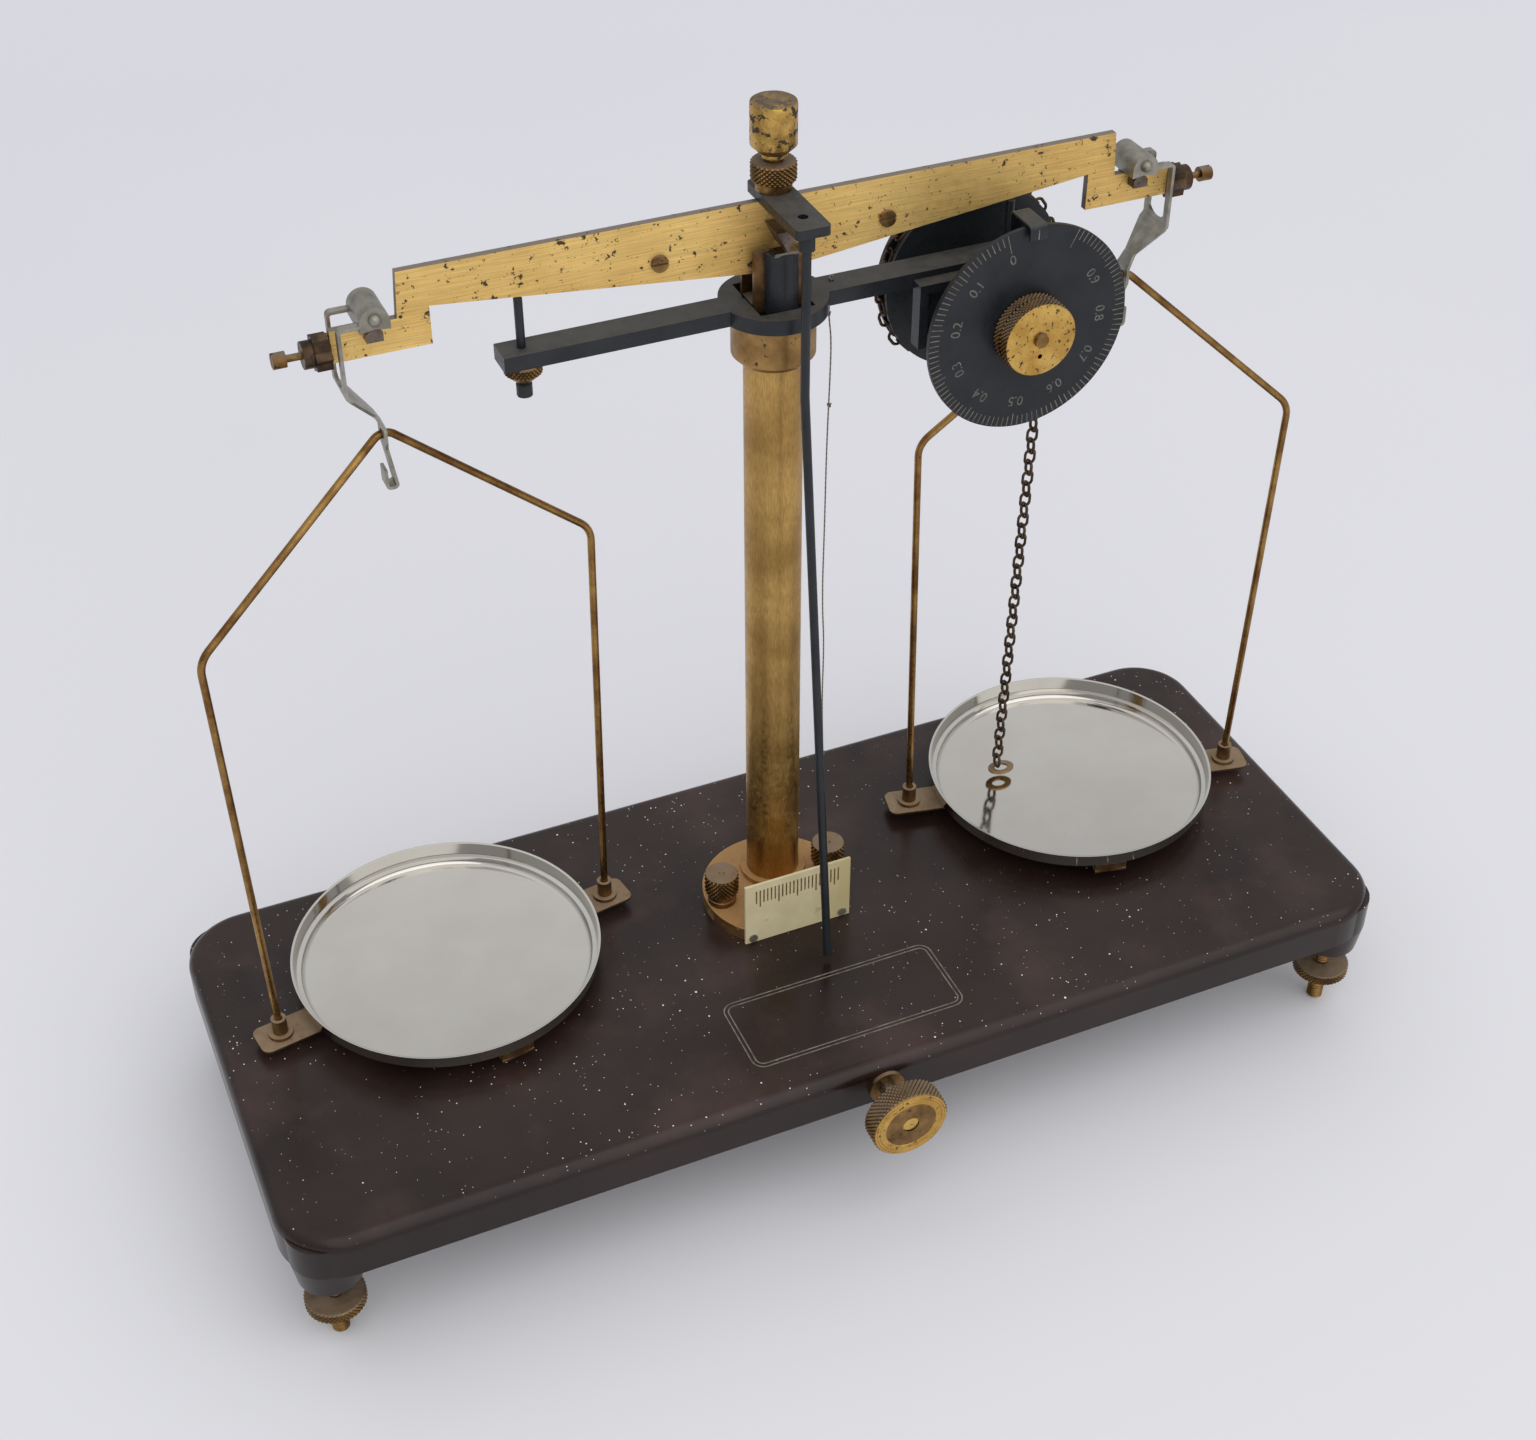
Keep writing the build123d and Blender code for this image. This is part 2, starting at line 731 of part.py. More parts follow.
export_step(beam_plate.part, "parts/beam_plate.step")

with BuildPart() as centre_knife:
    with BuildSketch(facing(0, 0, knife_line)):
        Polygon(
            (0, 0),
            (centre_knife_half_width, centre_knife_height),
            (-centre_knife_half_width, centre_knife_height),
            align=None,
        )
    extrude(amount=centre_knife_half_length, both=True)
centre_knife.part.label = "centre_knife"
export_step(centre_knife.part, "parts/centre_knife.step")

with BuildPart() as end_knives:
    for sign in sides.values():
        with BuildSketch(facing(sign * knife_reach, 0, knife_line)):
            Polygon(
                (0, 0),
                (end_knife_half_width, -end_knife_height / 2),
                (end_knife_half_width, -end_knife_height),
                (-end_knife_half_width, -end_knife_height),
                (-end_knife_half_width, -end_knife_height / 2),
                align=None,
            )
        extrude(amount=end_knife_half_length, both=True)
end_knives.part.label = "end_knives"
export_step(end_knives.part, "parts/end_knives.step")

with BuildPart() as beam_screws:
    for sign in sides.values():
        head_front = -beam_thickness / 2 - beam_screw_head
        bar(
            facing(sign * beam_screw_reach, beam_thickness / 2, knife_line),
            beam_screw_shank_radius,
            beam_thickness,
        )
        bar(
            facing(sign * beam_screw_reach, -beam_thickness / 2, knife_line),
            beam_screw_radius,
            beam_screw_head,
        )
        slot_cut(facing(sign * beam_screw_reach, head_front, knife_line), 2 * beam_screw_radius)
beam_screws.part.label = "beam_screws"
export_step(beam_screws.part, "parts/beam_screws.step")

# Screws out of the beam's ends, and the lobed nuts that run on them to balance it
with BuildPart() as end_screws:
    for sign in sides.values():
        rod_end = sign * (beam_end + end_screw_length)
        screw_z = knife_line + end_screw_height
        bar(across(sign * beam_end, 0, screw_z), end_screw_radius, sign * end_screw_length)
        bar(across(rod_end, 0, screw_z), end_head_radius, sign * end_head_length)
        with BuildSketch(across(rod_end + sign * end_head_length, 0, screw_z)) as slot:
            Rectangle(slot_width, 2 * end_head_radius)
        extrude(slot.sketch, amount=-sign * slot_depth, mode=Mode.SUBTRACT)
end_screws.part.label = "end_screws"
export_step(end_screws.part, "parts/end_screws.step")

for side, sign in sides.items():
    nut_start = sign * (beam_end + balance_nut_gap)
    nut_z = knife_line + end_screw_height
    with BuildPart() as balance_nut:
        knurled_bar(
            across(nut_start, 0, nut_z),
            balance_nut_radius,
            lobe_count,
            lobe_depth,
            sign * lobe_length,
        )
        bar(across(nut_start, 0, nut_z), balance_hub_radius, sign * balance_nut_length)
        bar(
            across(nut_start, 0, nut_z),
            end_screw_radius + running_gap,
            sign * balance_nut_length,
            Mode.SUBTRACT,
        )
    balance_nut.part.label = f"balance_nut_{side}"
    export_step(balance_nut.part, f"parts/balance_nut_{side}.step")

# Bridge plate across the beam: it carries the bob above and the pointer below
with BuildPart() as bridge_plate:
    with BuildSketch(level(0, (bridge_front + bridge_back) / 2, knife_line + beam_top)):
        RectangleRounded(bridge_width, bridge_back - bridge_front, bridge_corner)
    extrude(amount=bridge_thickness)
    bar(
        level(0, bridge_hole_y, knife_line + beam_top),
        bridge_hole_radius,
        bridge_thickness,
        Mode.SUBTRACT,
    )
bridge_plate.part.label = "bridge_plate"
export_step(bridge_plate.part, "parts/bridge_plate.step")

with BuildPart() as pointer:
    with BuildLine(across(0, 0, knife_line)) as pointer_line:
        FilletPolyline(
            (pointer_y, beam_top - pointer_boss_length),
            (pointer_y, pointer_bend),
            (pointer_tip_y, base_top + pointer_tip_height - knife_line),
            radius=pointer_bend_radius,
        )
    with BuildSketch(level(0, pointer_y, knife_line + beam_top - pointer_boss_length)):
        Circle(pointer_radius)
    sweep()
    bar(level(0, pointer_y, knife_line + beam_top), pointer_boss_radius, -pointer_boss_length)
pointer.part.label = "pointer"
export_step(pointer.part, "parts/pointer.step")

with BuildPart() as bob_stud:
    bar(level(0, 0, bridge_top), bob_collar_radius, bob_collar_height)
    bar(level(0, 0, bridge_top + bob_collar_height), bob_stud_radius, bob_stud_length)
bob_stud.part.label = "bob_stud"
export_step(bob_stud.part, "parts/bob_stud.step")

nut_bottom = bridge_top + bob_collar_height
with BuildPart() as bob_lock_nut:
    knurled_bar(level(0, 0, nut_bottom), bob_radius, 30, knurl_depth, bob_nut_height)
    bar(level(0, 0, nut_bottom), bob_stud_radius, bob_nut_height, Mode.SUBTRACT)
bob_lock_nut.part.label = "bob_lock_nut"
export_step(bob_lock_nut.part, "parts/bob_lock_nut.step")

# Gravity bob: a cup that screws up and down on the stud
neck_bottom = nut_bottom + bob_nut_height + loose_gap
bob_bottom = neck_bottom + bob_neck_height
bob_roof = nut_bottom + bob_stud_length + loose_gap
with BuildPart() as gravity_bob:
    bar(level(0, 0, bob_bottom), bob_radius, bob_height)
    chamfer(gravity_bob.edges().group_by(Axis.Z)[0], bob_chamfer)
    bar(level(0, 0, neck_bottom), bob_neck_radius, bob_neck_height)
    bar(
        level(0, 0, neck_bottom), bob_stud_radius + running_gap, bob_roof - neck_bottom, Mode.SUBTRACT
    )
    bar(
        level(0, 0, bob_bottom + bob_chamfer),
        bob_bore_radius,
        bob_roof - bob_bottom - bob_chamfer,
        Mode.SUBTRACT,
    )
gravity_bob.part.label = "gravity_bob"
export_step(gravity_bob.part, "parts/gravity_bob.step")

# Hangers: a saddle over each end knife, and a bent strap whose eye takes the bow
eye_radius = wire_radius + bow_eye_gap
leg_x = end_overhang - strap_leg_inset
wide_end, neck_height, eye_top, eye_bottom, tail_top = neck_heights
tail_x, tail_z = tail_bend
lip_lead = {"left": -1, "right": 1}
for side, sign in sides.items():
    with BuildPart() as hanger_saddle:
        with BuildSketch(facing(sign * knife_reach, 0, knife_line)):
            with BuildLine():
                Polyline(
                    (-saddle_half_width, saddle_side),
                    (-saddle_half_width, -saddle_skirt),
                    (0, knife_gap),
                    (saddle_half_width, -saddle_skirt),
                    (saddle_half_width, saddle_side),
                )
                ThreePointArc(
                    (saddle_half_width, saddle_side),
                    (0, saddle_top),
                    (-saddle_half_width, saddle_side),
                )
            make_face()
        extrude(amount=saddle_half_length, both=True)
        bar(
            facing(sign * knife_reach, saddle_pin_back, knife_line + saddle_pin_height),
            saddle_pin_radius,
            saddle_pin_back + saddle_pin_front,
        )
        with Locations(
            (
                pillar_x + sign * knife_reach,
                pillar_y - saddle_pin_front,
                knife_line + saddle_pin_height,
            )
        ):
            Sphere(saddle_ball_radius)
    hanger_saddle.part.label = f"hanger_saddle_{side}"
    export_step(hanger_saddle.part, f"parts/hanger_saddle_{side}.step")

    lip_x = tail_x + lip_lead[side] * sign * lip_length
    strap_path = [
        (saddle_half_width, saddle_side - strap_tuck),
        (leg_x, saddle_side - strap_tuck),
        (leg_x, leg_foot),
        *strap_bends,
        tail_bend,
        (lip_x, tail_z),
        (lip_x, lip_top),
    ]
    with BuildPart() as hanger_strap:
        with BuildSketch(facing(sign * knife_reach, 0, knife_line)):
            with BuildLine():
                FilletPolyline(*[(sign * x, z) for x, z in strap_path], radius=strap_bend)
            trace(line_width=strap_thickness)
        extrude(amount=strap_half_width, both=True)
        with BuildSketch(across(sign * knife_reach, 0, knife_line)):
            with BuildLine():
                half_outline = [
                    (strap_half_width, saddle_top),
                    (strap_half_width, wide_end),
                    (strap_neck_half_width, neck_height),
                    (strap_eye_half_width, eye_top),
                    (strap_eye_half_width, eye_bottom),
                    (strap_tail_half_width, tail_top),
                    (strap_tail_half_width, tail_end),
                ]
                Polyline(
                    *half_outline, *[(-y, z) for y, z in reversed(half_outline)], close=True
                )
            make_face()
            with BuildLine():
                Polyline(
                    (window_half_width, window_bottom + window_arch),
                    (window_half_width, saddle_top),
                    (-window_half_width, saddle_top),
                    (-window_half_width, window_bottom + window_arch),
                )
                ThreePointArc(
                    (-window_half_width, window_bottom + window_arch),
                    (0, window_bottom),
                    (window_half_width, window_bottom + window_arch),
                )
            make_face(mode=Mode.SUBTRACT)
            with Locations((0, -hook_drop)):
                Circle(eye_radius, mode=Mode.SUBTRACT)
        extrude(amount=end_overhang + lip_length, both=True, mode=Mode.INTERSECT)
    hanger_strap.part.label = f"hanger_strap_{side}"
    export_step(hanger_strap.part, f"parts/hanger_strap_{side}.step")

# Bows: each is one bent wire that hangs in its hanger's eye
slope = hypot(shoulder_half_width, shoulder_drop) / shoulder_half_width
apex_rise = bow_bend * (slope - 1)
bow_points = [
    (-foot_half_width, -foot_drop),
    (-shoulder_half_width, -shoulder_drop),
    (0, apex_rise),
    (shoulder_half_width, -shoulder_drop),
    (foot_half_width, -foot_drop),
]
for side, sign in sides.items():
    turn = radians(bow_turn[side])
    along = (cos(turn), sin(turn), 0)
    bow_plane = Plane(
        origin=(pillar_x + sign * knife_reach, pillar_y, bow_line),
        x_dir=along,
        z_dir=(sin(turn), -cos(turn), 0),
    )
    with BuildPart() as bow:
        with BuildLine(bow_plane) as bow_path:
            FilletPolyline(*bow_points, radius=[shoulder_bend, bow_bend, shoulder_bend])
        with BuildSketch(Plane(origin=bow_path.line @ 0, z_dir=bow_path.line % 0)):
            Circle(wire_radius)
        sweep()
    bow.part.label = f"bow_{side}"
    export_step(bow.part, f"parts/bow_{side}.step")

    # The cross of strips under the pan, with a ferrule for each foot of the bow
    foot_end = bow_line - foot_drop
    cross_half_length = pan_step_radius + tab_play + strip_thickness
    with BuildPart() as pan_support:
        strip_plane = Plane(
            origin=(pillar_x + sign * knife_reach, pillar_y, strip_top - strip_thickness),
            x_dir=along,
            z_dir=(0, 0, 1),
        )
        with BuildSketch(strip_plane):
            RectangleRounded(2 * (foot_half_width + strip_end), strip_width, strip_corner)
            Rectangle(cross_strip_width, 2 * cross_half_length)
        extrude(amount=strip_thickness)
        with BuildSketch(strip_plane):
            Circle(cross_half_length)
            Circle(cross_half_length - strip_thickness, mode=Mode.SUBTRACT)
            Rectangle(cross_strip_width, 3 * cross_half_length, mode=Mode.INTERSECT)
        extrude(amount=strip_thickness + tab_height)
        with BuildSketch(strip_plane):
            with Locations((-foot_half_width, 0), (foot_half_width, 0)):
                Circle(ferrule_foot_radius)
        extrude(amount=strip_thickness + ferrule_foot_height)
        with BuildSketch(strip_plane):
            with Locations((-foot_half_width, 0), (foot_half_width, 0)):
                Circle(ferrule_radius)
        extrude(amount=strip_thickness + ferrule_height)
        with BuildSketch(strip_plane.offset(foot_end - ferrule_gap - strip_top + strip_thickness)):
            with Locations((-foot_half_width, 0), (foot_half_width, 0)):
                Circle(wire_radius + ferrule_gap)
        extrude(amount=ferrule_height, mode=Mode.SUBTRACT)
    pan_support.part.label = f"pan_support_{side}"
    export_step(pan_support.part, f"parts/pan_support_{side}.step")

    # The pan: a spun dish with a step under its flared rim
    with BuildPart() as pan:
        with BuildSketch(facing(sign * knife_reach, 0, strip_top)):
            with BuildLine():
                Polyline(
                    (pan_step_radius, pan_bottom_round),
                    (pan_step_radius, pan_step_height),
                    (pan_shoulder_radius, pan_step_height + pan_wall / 2),
                    (pan_radius, pan_height),
                    (pan_radius - pan_wall, pan_height),
                    (pan_shoulder_radius - pan_wall, pan_step_height + 1.2 * pan_wall),
                    (pan_step_radius - pan_wall, pan_step_height + 0.8 * pan_wall),
                    (pan_step_radius - pan_wall, pan_bottom_round),
                )
                ThreePointArc(
                    (pan_step_radius - pan_wall, pan_bottom_round),
                    (
                        pan_step_radius - pan_bottom_round + (pan_bottom_round - pan_wall) * cos(pi / 4),
                        pan_bottom_round - (pan_bottom_round - pan_wall) * cos(pi / 4),
                    ),
                    (pan_step_radius - pan_bottom_round, pan_wall),
                )
                Polyline(
                    (pan_step_radius - pan_bottom_round, pan_wall),
                    (0, pan_wall),
                    (0, 0),
                    (pan_step_radius - pan_bottom_round, 0),
                )
                ThreePointArc(
                    (pan_step_radius - pan_bottom_round, 0),
                    (
                        pan_step_radius - pan_bottom_round * (1 - cos(pi / 4)),
                        pan_bottom_round * (1 - cos(pi / 4)),
                    ),
                    (pan_step_radius, pan_bottom_round),
                )
            make_face()
        revolve(axis=Axis((pillar_x + sign * knife_reach, pillar_y, 0), (0, 0, 1)))
    pan.part.label = f"pan_{side}"
    export_step(pan.part, f"parts/pan_{side}.step")

# Dial bracket: a shallow tray on the arm's front face, with the spindle's bearing tube
bracket_mid_x = (bracket_left + bracket_right) / 2
bracket_mid_z = dial_z + (bracket_bottom + bracket_top) / 2
bracket_length = bracket_right - bracket_left
bracket_height = bracket_top - bracket_bottom
drum_clearance = drum_front - loose_gap
with BuildPart() as dial_bracket:
    with BuildSketch(facing(bracket_mid_x, -arm_half_width, bracket_mid_z)):
        Rectangle(bracket_length, bracket_height)
    extrude(amount=bracket_depth)
    with BuildSketch(facing(bracket_mid_x, -arm_half_width - bracket_back_wall, bracket_mid_z)):
        Rectangle(bracket_length - 2 * bracket_wall, bracket_height - 2 * bracket_wall)
    extrude(amount=bracket_depth, mode=Mode.SUBTRACT)
    with BuildSketch(level(stop_reach, 0, arm_bottom - stop_nut_thickness - loose_gap)):
        Circle(stop_nut_radius + loose_gap)
    extrude(amount=stop_nut_thickness + loose_gap, mode=Mode.SUBTRACT)
    bar(
        facing(dial_x, drum_clearance, dial_z),
        bearing_tube_radius,
        drum_clearance + arm_half_width + bracket_depth,
    )
    bar(
        facing(dial_x, drum_clearance, dial_z),
        spindle_radius + running_gap,
        drum_clearance + arm_half_width + bracket_depth,
        Mode.SUBTRACT,
    )
dial_bracket.part.label = "dial_bracket"
export_step(dial_bracket.part, "parts/dial_bracket.step")

# Index tab: a strip bent up behind the dial and down again in front of its edge
with BuildPart() as index_tab:
    with BuildSketch(across(dial_x, 0, dial_z)):
        with BuildLine():
            FilletPolyline(
                (-arm_half_width - tab_foot, bracket_top + strap_thickness / 2),
                (tab_leg_y, bracket_top + strap_thickness / 2),
                (tab_leg_y, tab_top),
                (tab_front_y, tab_top),
                (tab_front_y, tab_tip),
                radius=tab_bend,
            )
        trace(line_width=strap_thickness)
    extrude(amount=tab_width / 2, both=True)
index_tab.part.label = "index_tab"
export_step(index_tab.part, "parts/index_tab.step")

# Dial, knob, spindle and drum turn together
drum_back = drum_front + drum_width
with BuildPart() as dial_spindle:
    spindle_back = drum_back + spindle_reach
    bar(facing(dial_x, spindle_back, dial_z), spindle_radius, spindle_back - spindle_front)
dial_spindle.part.label = "dial_spindle"
export_step(dial_spindle.part, "parts/dial_spindle.step")

with BuildPart() as dial_disc:
    bar(facing(dial_x, dial_front + dial_thickness, dial_z), dial_radius, dial_thickness)
    bar(
        facing(dial_x, dial_front + dial_thickness, dial_z),
        spindle_radius,
        dial_thickness,
        Mode.SUBTRACT,
    )
dial_disc.part.label = "dial_disc"
export_step(dial_disc.part, "parts/dial_disc.step")

with BuildPart() as dial_knob:
    knurled_bar(
        facing(dial_x, dial_front, dial_z), dial_knob_radius, 36, knurl_depth, dial_knob_thickness
    )
    bar(facing(dial_x, dial_front, dial_z), spindle_radius, dial_knob_thickness, Mode.SUBTRACT)
    bar(
        facing(dial_x, dial_front - dial_knob_thickness, dial_z - set_hole_drop),
        set_hole_radius,
        -set_hole_depth,
        Mode.SUBTRACT,
    )
dial_knob.part.label = "dial_knob"
export_step(dial_knob.part, "parts/dial_knob.step")

with BuildPart() as chain_drum:
    with BuildSketch(facing(dial_x, drum_back, dial_z)):
        Circle(drum_flange_radius)
        Circle(spindle_radius, mode=Mode.SUBTRACT)
    extrude(amount=drum_width)
    with BuildSketch(facing(dial_x, drum_back - drum_flange_thickness, dial_z)):
        Circle(drum_flange_radius + cut_margin)
        Circle(drum_groove_radius, mode=Mode.SUBTRACT)
    extrude(amount=drum_width - 2 * drum_flange_thickness, mode=Mode.SUBTRACT)
    web_cut = (drum_width - drum_web_thickness) / 2
    for y in (drum_back, drum_front + web_cut):
        with BuildSketch(facing(dial_x, y, dial_z)):
            Circle(drum_groove_radius - drum_rim_thickness)
            Circle(drum_hub_radius, mode=Mode.SUBTRACT)
        extrude(amount=web_cut, mode=Mode.SUBTRACT)
chain_drum.part.label = "chain_drum"
export_step(chain_drum.part, "parts/chain_drum.step")

# Chain: it lies over the drum, hangs at the right, and leads down into the right pan
link_half_length = link_inner_length / 2 + chain_wire
link_half_width = chain_width / 2


def link_outline(half_length, half_width, corner):
    """The eight corners of a link's outside or of its opening."""
    quarter = [(half_length, half_width - corner), (half_length - corner, half_width)]
    upper = quarter + [(-x, y) for x, y in reversed(quarter)]
    return upper + [(-x, -y) for x, y in upper]


with BuildPart() as chain_link:
    with BuildSketch():
        Polygon(*link_outline(link_half_length, link_half_width, link_corner), align=None)
        Polygon(
            *link_outline(
                link_half_length - chain_wire, link_half_width - chain_wire, link_corner / 2
            ),
            align=None,
            mode=Mode.SUBTRACT,
        )
    extrude(amount=chain_wire / 2, both=True)

chain_y = pillar_y + drum_front + drum_width / 2
link_places = []
link_angle = 2 * asin(link_pitch / 2 / chain_radius)
for k in range(wrapped_links):
    turn = (k + 0.5) * link_angle
    radial = (cos(turn), 0, sin(turn))
    centre = (
        pillar_x + dial_x + chain_radius * radial[0],
        chain_y,
        dial_z + chain_radius * radial[2],
    )
    normal = radial if k % 2 else (0, 1, 0)
    link_places.append(Plane(origin=centre, x_dir=(-sin(turn), 0, cos(turn)), z_dir=normal).location)
hanging_links = int((dial_z - base_top - clasp_height - clasp_thickness) / link_pitch)
hang_length = hanging_links * link_pitch
hang_angle = asin(chain_lean / hang_length)
hang_along = (-sin(hang_angle), 0, -cos(hang_angle))
for k in range(hanging_links):
    reach = (k + 0.5) * link_pitch
    centre = (
        pillar_x + dial_x + chain_radius + reach * hang_along[0],
        chain_y,
        dial_z + reach * hang_along[2],
    )
    normal = (0, 1, 0) if k % 2 else (cos(hang_angle), 0, -sin(hang_angle))
    link_places.append(Plane(origin=centre, x_dir=hang_along, z_dir=normal).location)
with BuildPart() as chain:
    with Locations(*link_places):
        add(chain_link.part)
chain.part.label = "chain"
export_step(chain.part, "parts/chain.step")

# Clasp at the foot of the chain, lying over the pan
clasp_x = pillar_x + dial_x + chain_radius - chain_lean
with BuildPart() as chain_clasp:
    with BuildSketch(Plane(origin=(clasp_x, chain_y, base_top + clasp_height))):
        with Locations((clasp_length / 2 - clasp_eye_radius - clasp_eye_wall, 0)):
            RectangleRounded(clasp_length, clasp_width, clasp_corner)
        Circle(clasp_eye_radius, mode=Mode.SUBTRACT)
    extrude(amount=clasp_thickness)
chain_clasp.part.label = "chain_clasp"
export_step(chain_clasp.part, "parts/chain_clasp.step")

# Plumb thread: straight runs joined by arcs as large as the runs allow
route = [
    Vector(pillar_x + x, pillar_y + y, arm_top + rise) for x, y, rise in thread_route
]
thread_bends = []
for before, corner, after in zip(route, route[1:], route[2:]):
    half_turn = radians((corner - before).get_angle(after - corner)) / 2
    shorter_run = min((corner - before).length, (after - corner).length)
    thread_bends.append(0.45 * shorter_run / tan(half_turn))
print("thread bend radii", [round(bend) for bend in thread_bends])
with BuildPart() as plumb_thread:
    with BuildLine() as thread_line:
        FilletPolyline(*route, radius=thread_bends)
    with BuildSketch(Plane(origin=thread_line.line @ 0, z_dir=thread_line.line % 0)):
        Circle(thread_diameter / 2)
    sweep()
plumb_thread.part.label = "plumb_thread"
export_step(plumb_thread.part, "parts/plumb_thread.step")

# Knots: one sits on the arm, and one ends the thread
with BuildPart() as thread_knots:
    with Locations(route[0] + Vector(0, 0, knot_radius), route[-1] - Vector(0, 0, knot_radius)):
        Sphere(knot_radius)
thread_knots.part.label = "thread_knots"
export_step(thread_knots.part, "parts/thread_knots.step")
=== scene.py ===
import bpy
from math import asin, atan2, cos, pi, radians, sin
from mathutils import Matrix, Vector


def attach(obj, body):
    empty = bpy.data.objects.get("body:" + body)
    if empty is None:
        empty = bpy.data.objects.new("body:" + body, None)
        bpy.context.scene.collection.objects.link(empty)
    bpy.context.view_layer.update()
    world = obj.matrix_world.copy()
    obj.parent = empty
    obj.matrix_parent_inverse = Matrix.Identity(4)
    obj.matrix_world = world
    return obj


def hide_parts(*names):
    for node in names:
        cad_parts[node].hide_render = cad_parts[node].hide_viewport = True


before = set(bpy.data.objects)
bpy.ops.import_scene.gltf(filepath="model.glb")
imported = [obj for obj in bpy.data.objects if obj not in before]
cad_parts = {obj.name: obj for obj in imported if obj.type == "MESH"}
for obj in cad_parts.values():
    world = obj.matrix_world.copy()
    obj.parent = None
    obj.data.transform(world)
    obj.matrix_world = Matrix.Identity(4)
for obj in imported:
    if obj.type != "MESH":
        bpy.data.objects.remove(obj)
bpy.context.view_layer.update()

# Camera: above the front and to the left of the balance. Its place, direction and lens were fitted
# to the outlines in the photograph.
mm = 0.001
camera_place = (-246.06, -535.55, 623.77)
camera_tilt = 90 - 38.569
camera_turn = -23.577
camera_lens = 52.67
bpy.ops.object.select_all(action="DESELECT")
bpy.ops.object.camera_add(
    location=[value * mm for value in camera_place],
    rotation=(radians(camera_tilt), 0, radians(camera_turn)),
)
camera = bpy.context.object
camera.data.lens = camera_lens
camera.data.sensor_width = 36
camera.data.sensor_fit = "HORIZONTAL"
camera.data.clip_start = 0.01
bpy.context.scene.camera = camera

# Floor and light: a pale, plain studio table under a bright sky, and one broad soft light from the
# front, high and slightly to the right. The sky is darker towards the horizon, so that metal shows
# its form.
floor_size = 12
sky_strength = 0.96
light_turn = (49, 10, 0)
light_strength = 1.15
light_width = 85
scene = bpy.context.scene
scene.view_settings.view_transform = "Standard"


def shade(code):
    """A colour's linear values, from its sRGB hex code."""
    parts = [int(code[k : k + 2], 16) / 255 for k in (0, 2, 4)]
    return [c / 12.92 if c <= 0.04045 else ((c + 0.055) / 1.055) ** 2.4 for c in parts] + [1]


def add_node(tree, kind, inputs=None, **settings):
    """A new shader node. inputs gives values or the sockets that feed it, by name or number."""
    node = tree.nodes.new("ShaderNode" + kind)
    for name, value in settings.items():
        setattr(node, name, value)
    for key, value in (inputs or {}).items():
        if isinstance(value, bpy.types.NodeSocket):
            tree.links.new(value, node.inputs[key])
        else:
            node.inputs[key].default_value = value
    return node


def mixed(tree, amount, first, second, blend="MIX"):
    """The colour between first and second."""
    node = add_node(
        tree, "Mix", {0: amount, 6: first, 7: second}, data_type="RGBA", blend_type=blend
    )
    return node.outputs[2]


def ranged(tree, value, low, high, start=0.0, end=1.0):
    """value, spread so that low gives start and high gives end."""
    inputs = {"Value": value, "From Min": low, "From Max": high, "To Min": start, "To Max": end}
    return add_node(tree, "MapRange", inputs).outputs["Result"]


def cloud(tree, place, size, detail=3.0, rough=0.55):
    """Noise whose lumps are about size millimetres across."""
    inputs = {"Vector": place, "Scale": 1 / (size * mm), "Detail": detail, "Roughness": rough}
    return add_node(tree, "TexNoise", inputs).outputs["Fac"]


def new_material(name):
    """An empty material's tree, with its surface shader and the object's own coordinates."""
    made = bpy.data.materials.new(name)
    made.use_nodes = True
    tree = made.node_tree
    place = add_node(tree, "TexCoord")
    return made, tree, tree.nodes["Principled BSDF"], place


world = bpy.data.worlds.new("studio_sky")
scene.world = world
world.use_nodes = True
sky = world.node_tree
direction = add_node(sky, "SeparateXYZ", {0: add_node(sky, "TexCoord").outputs["Generated"]})
height = ranged(sky, direction.outputs["Z"], 0.0, 0.9)
sky_light = mixed(sky, height, shade("A2A4A9"), shade("F4F4F6"))
seen = add_node(sky, "LightPath").outputs["Is Camera Ray"]
sky_colour = mixed(sky, seen, sky_light, shade("E2E2E6"))
sky.links.new(sky_colour, sky.nodes["Background"].inputs["Color"])
sky.nodes["Background"].inputs["Strength"].default_value = sky_strength

bpy.ops.mesh.primitive_plane_add(size=floor_size)
floor = bpy.context.object
floor.name = "studio_floor"
table_white, tree, surface, place = new_material("matt_white_table")
grain = cloud(tree, place.outputs["Object"], 900)
# Painted shade: the table's colour darkens from front to back, standing in for light falling off.
painted_shade_depth = add_node(tree, "SeparateXYZ", {0: place.outputs["Object"]}).outputs["Y"]
table_tone = mixed(tree, ranged(tree, painted_shade_depth, -0.3, 0.9), shade("E6E6E9"), shade("DADAE0"))
table_tone = mixed(tree, ranged(tree, grain, 0.3, 0.7, 0, 0.25), table_tone, shade("EBEBEE"))
tree.links.new(table_tone, surface.inputs["Base Color"])
surface.inputs["Roughness"].default_value = 0.75
surface.inputs["Specular IOR Level"].default_value = 0.15
floor.data.materials.append(table_white)

bpy.ops.object.light_add(type="SUN", rotation=[radians(angle) for angle in light_turn])
key_light = bpy.context.object
key_light.data.energy = light_strength
key_light.data.angle = radians(light_width)

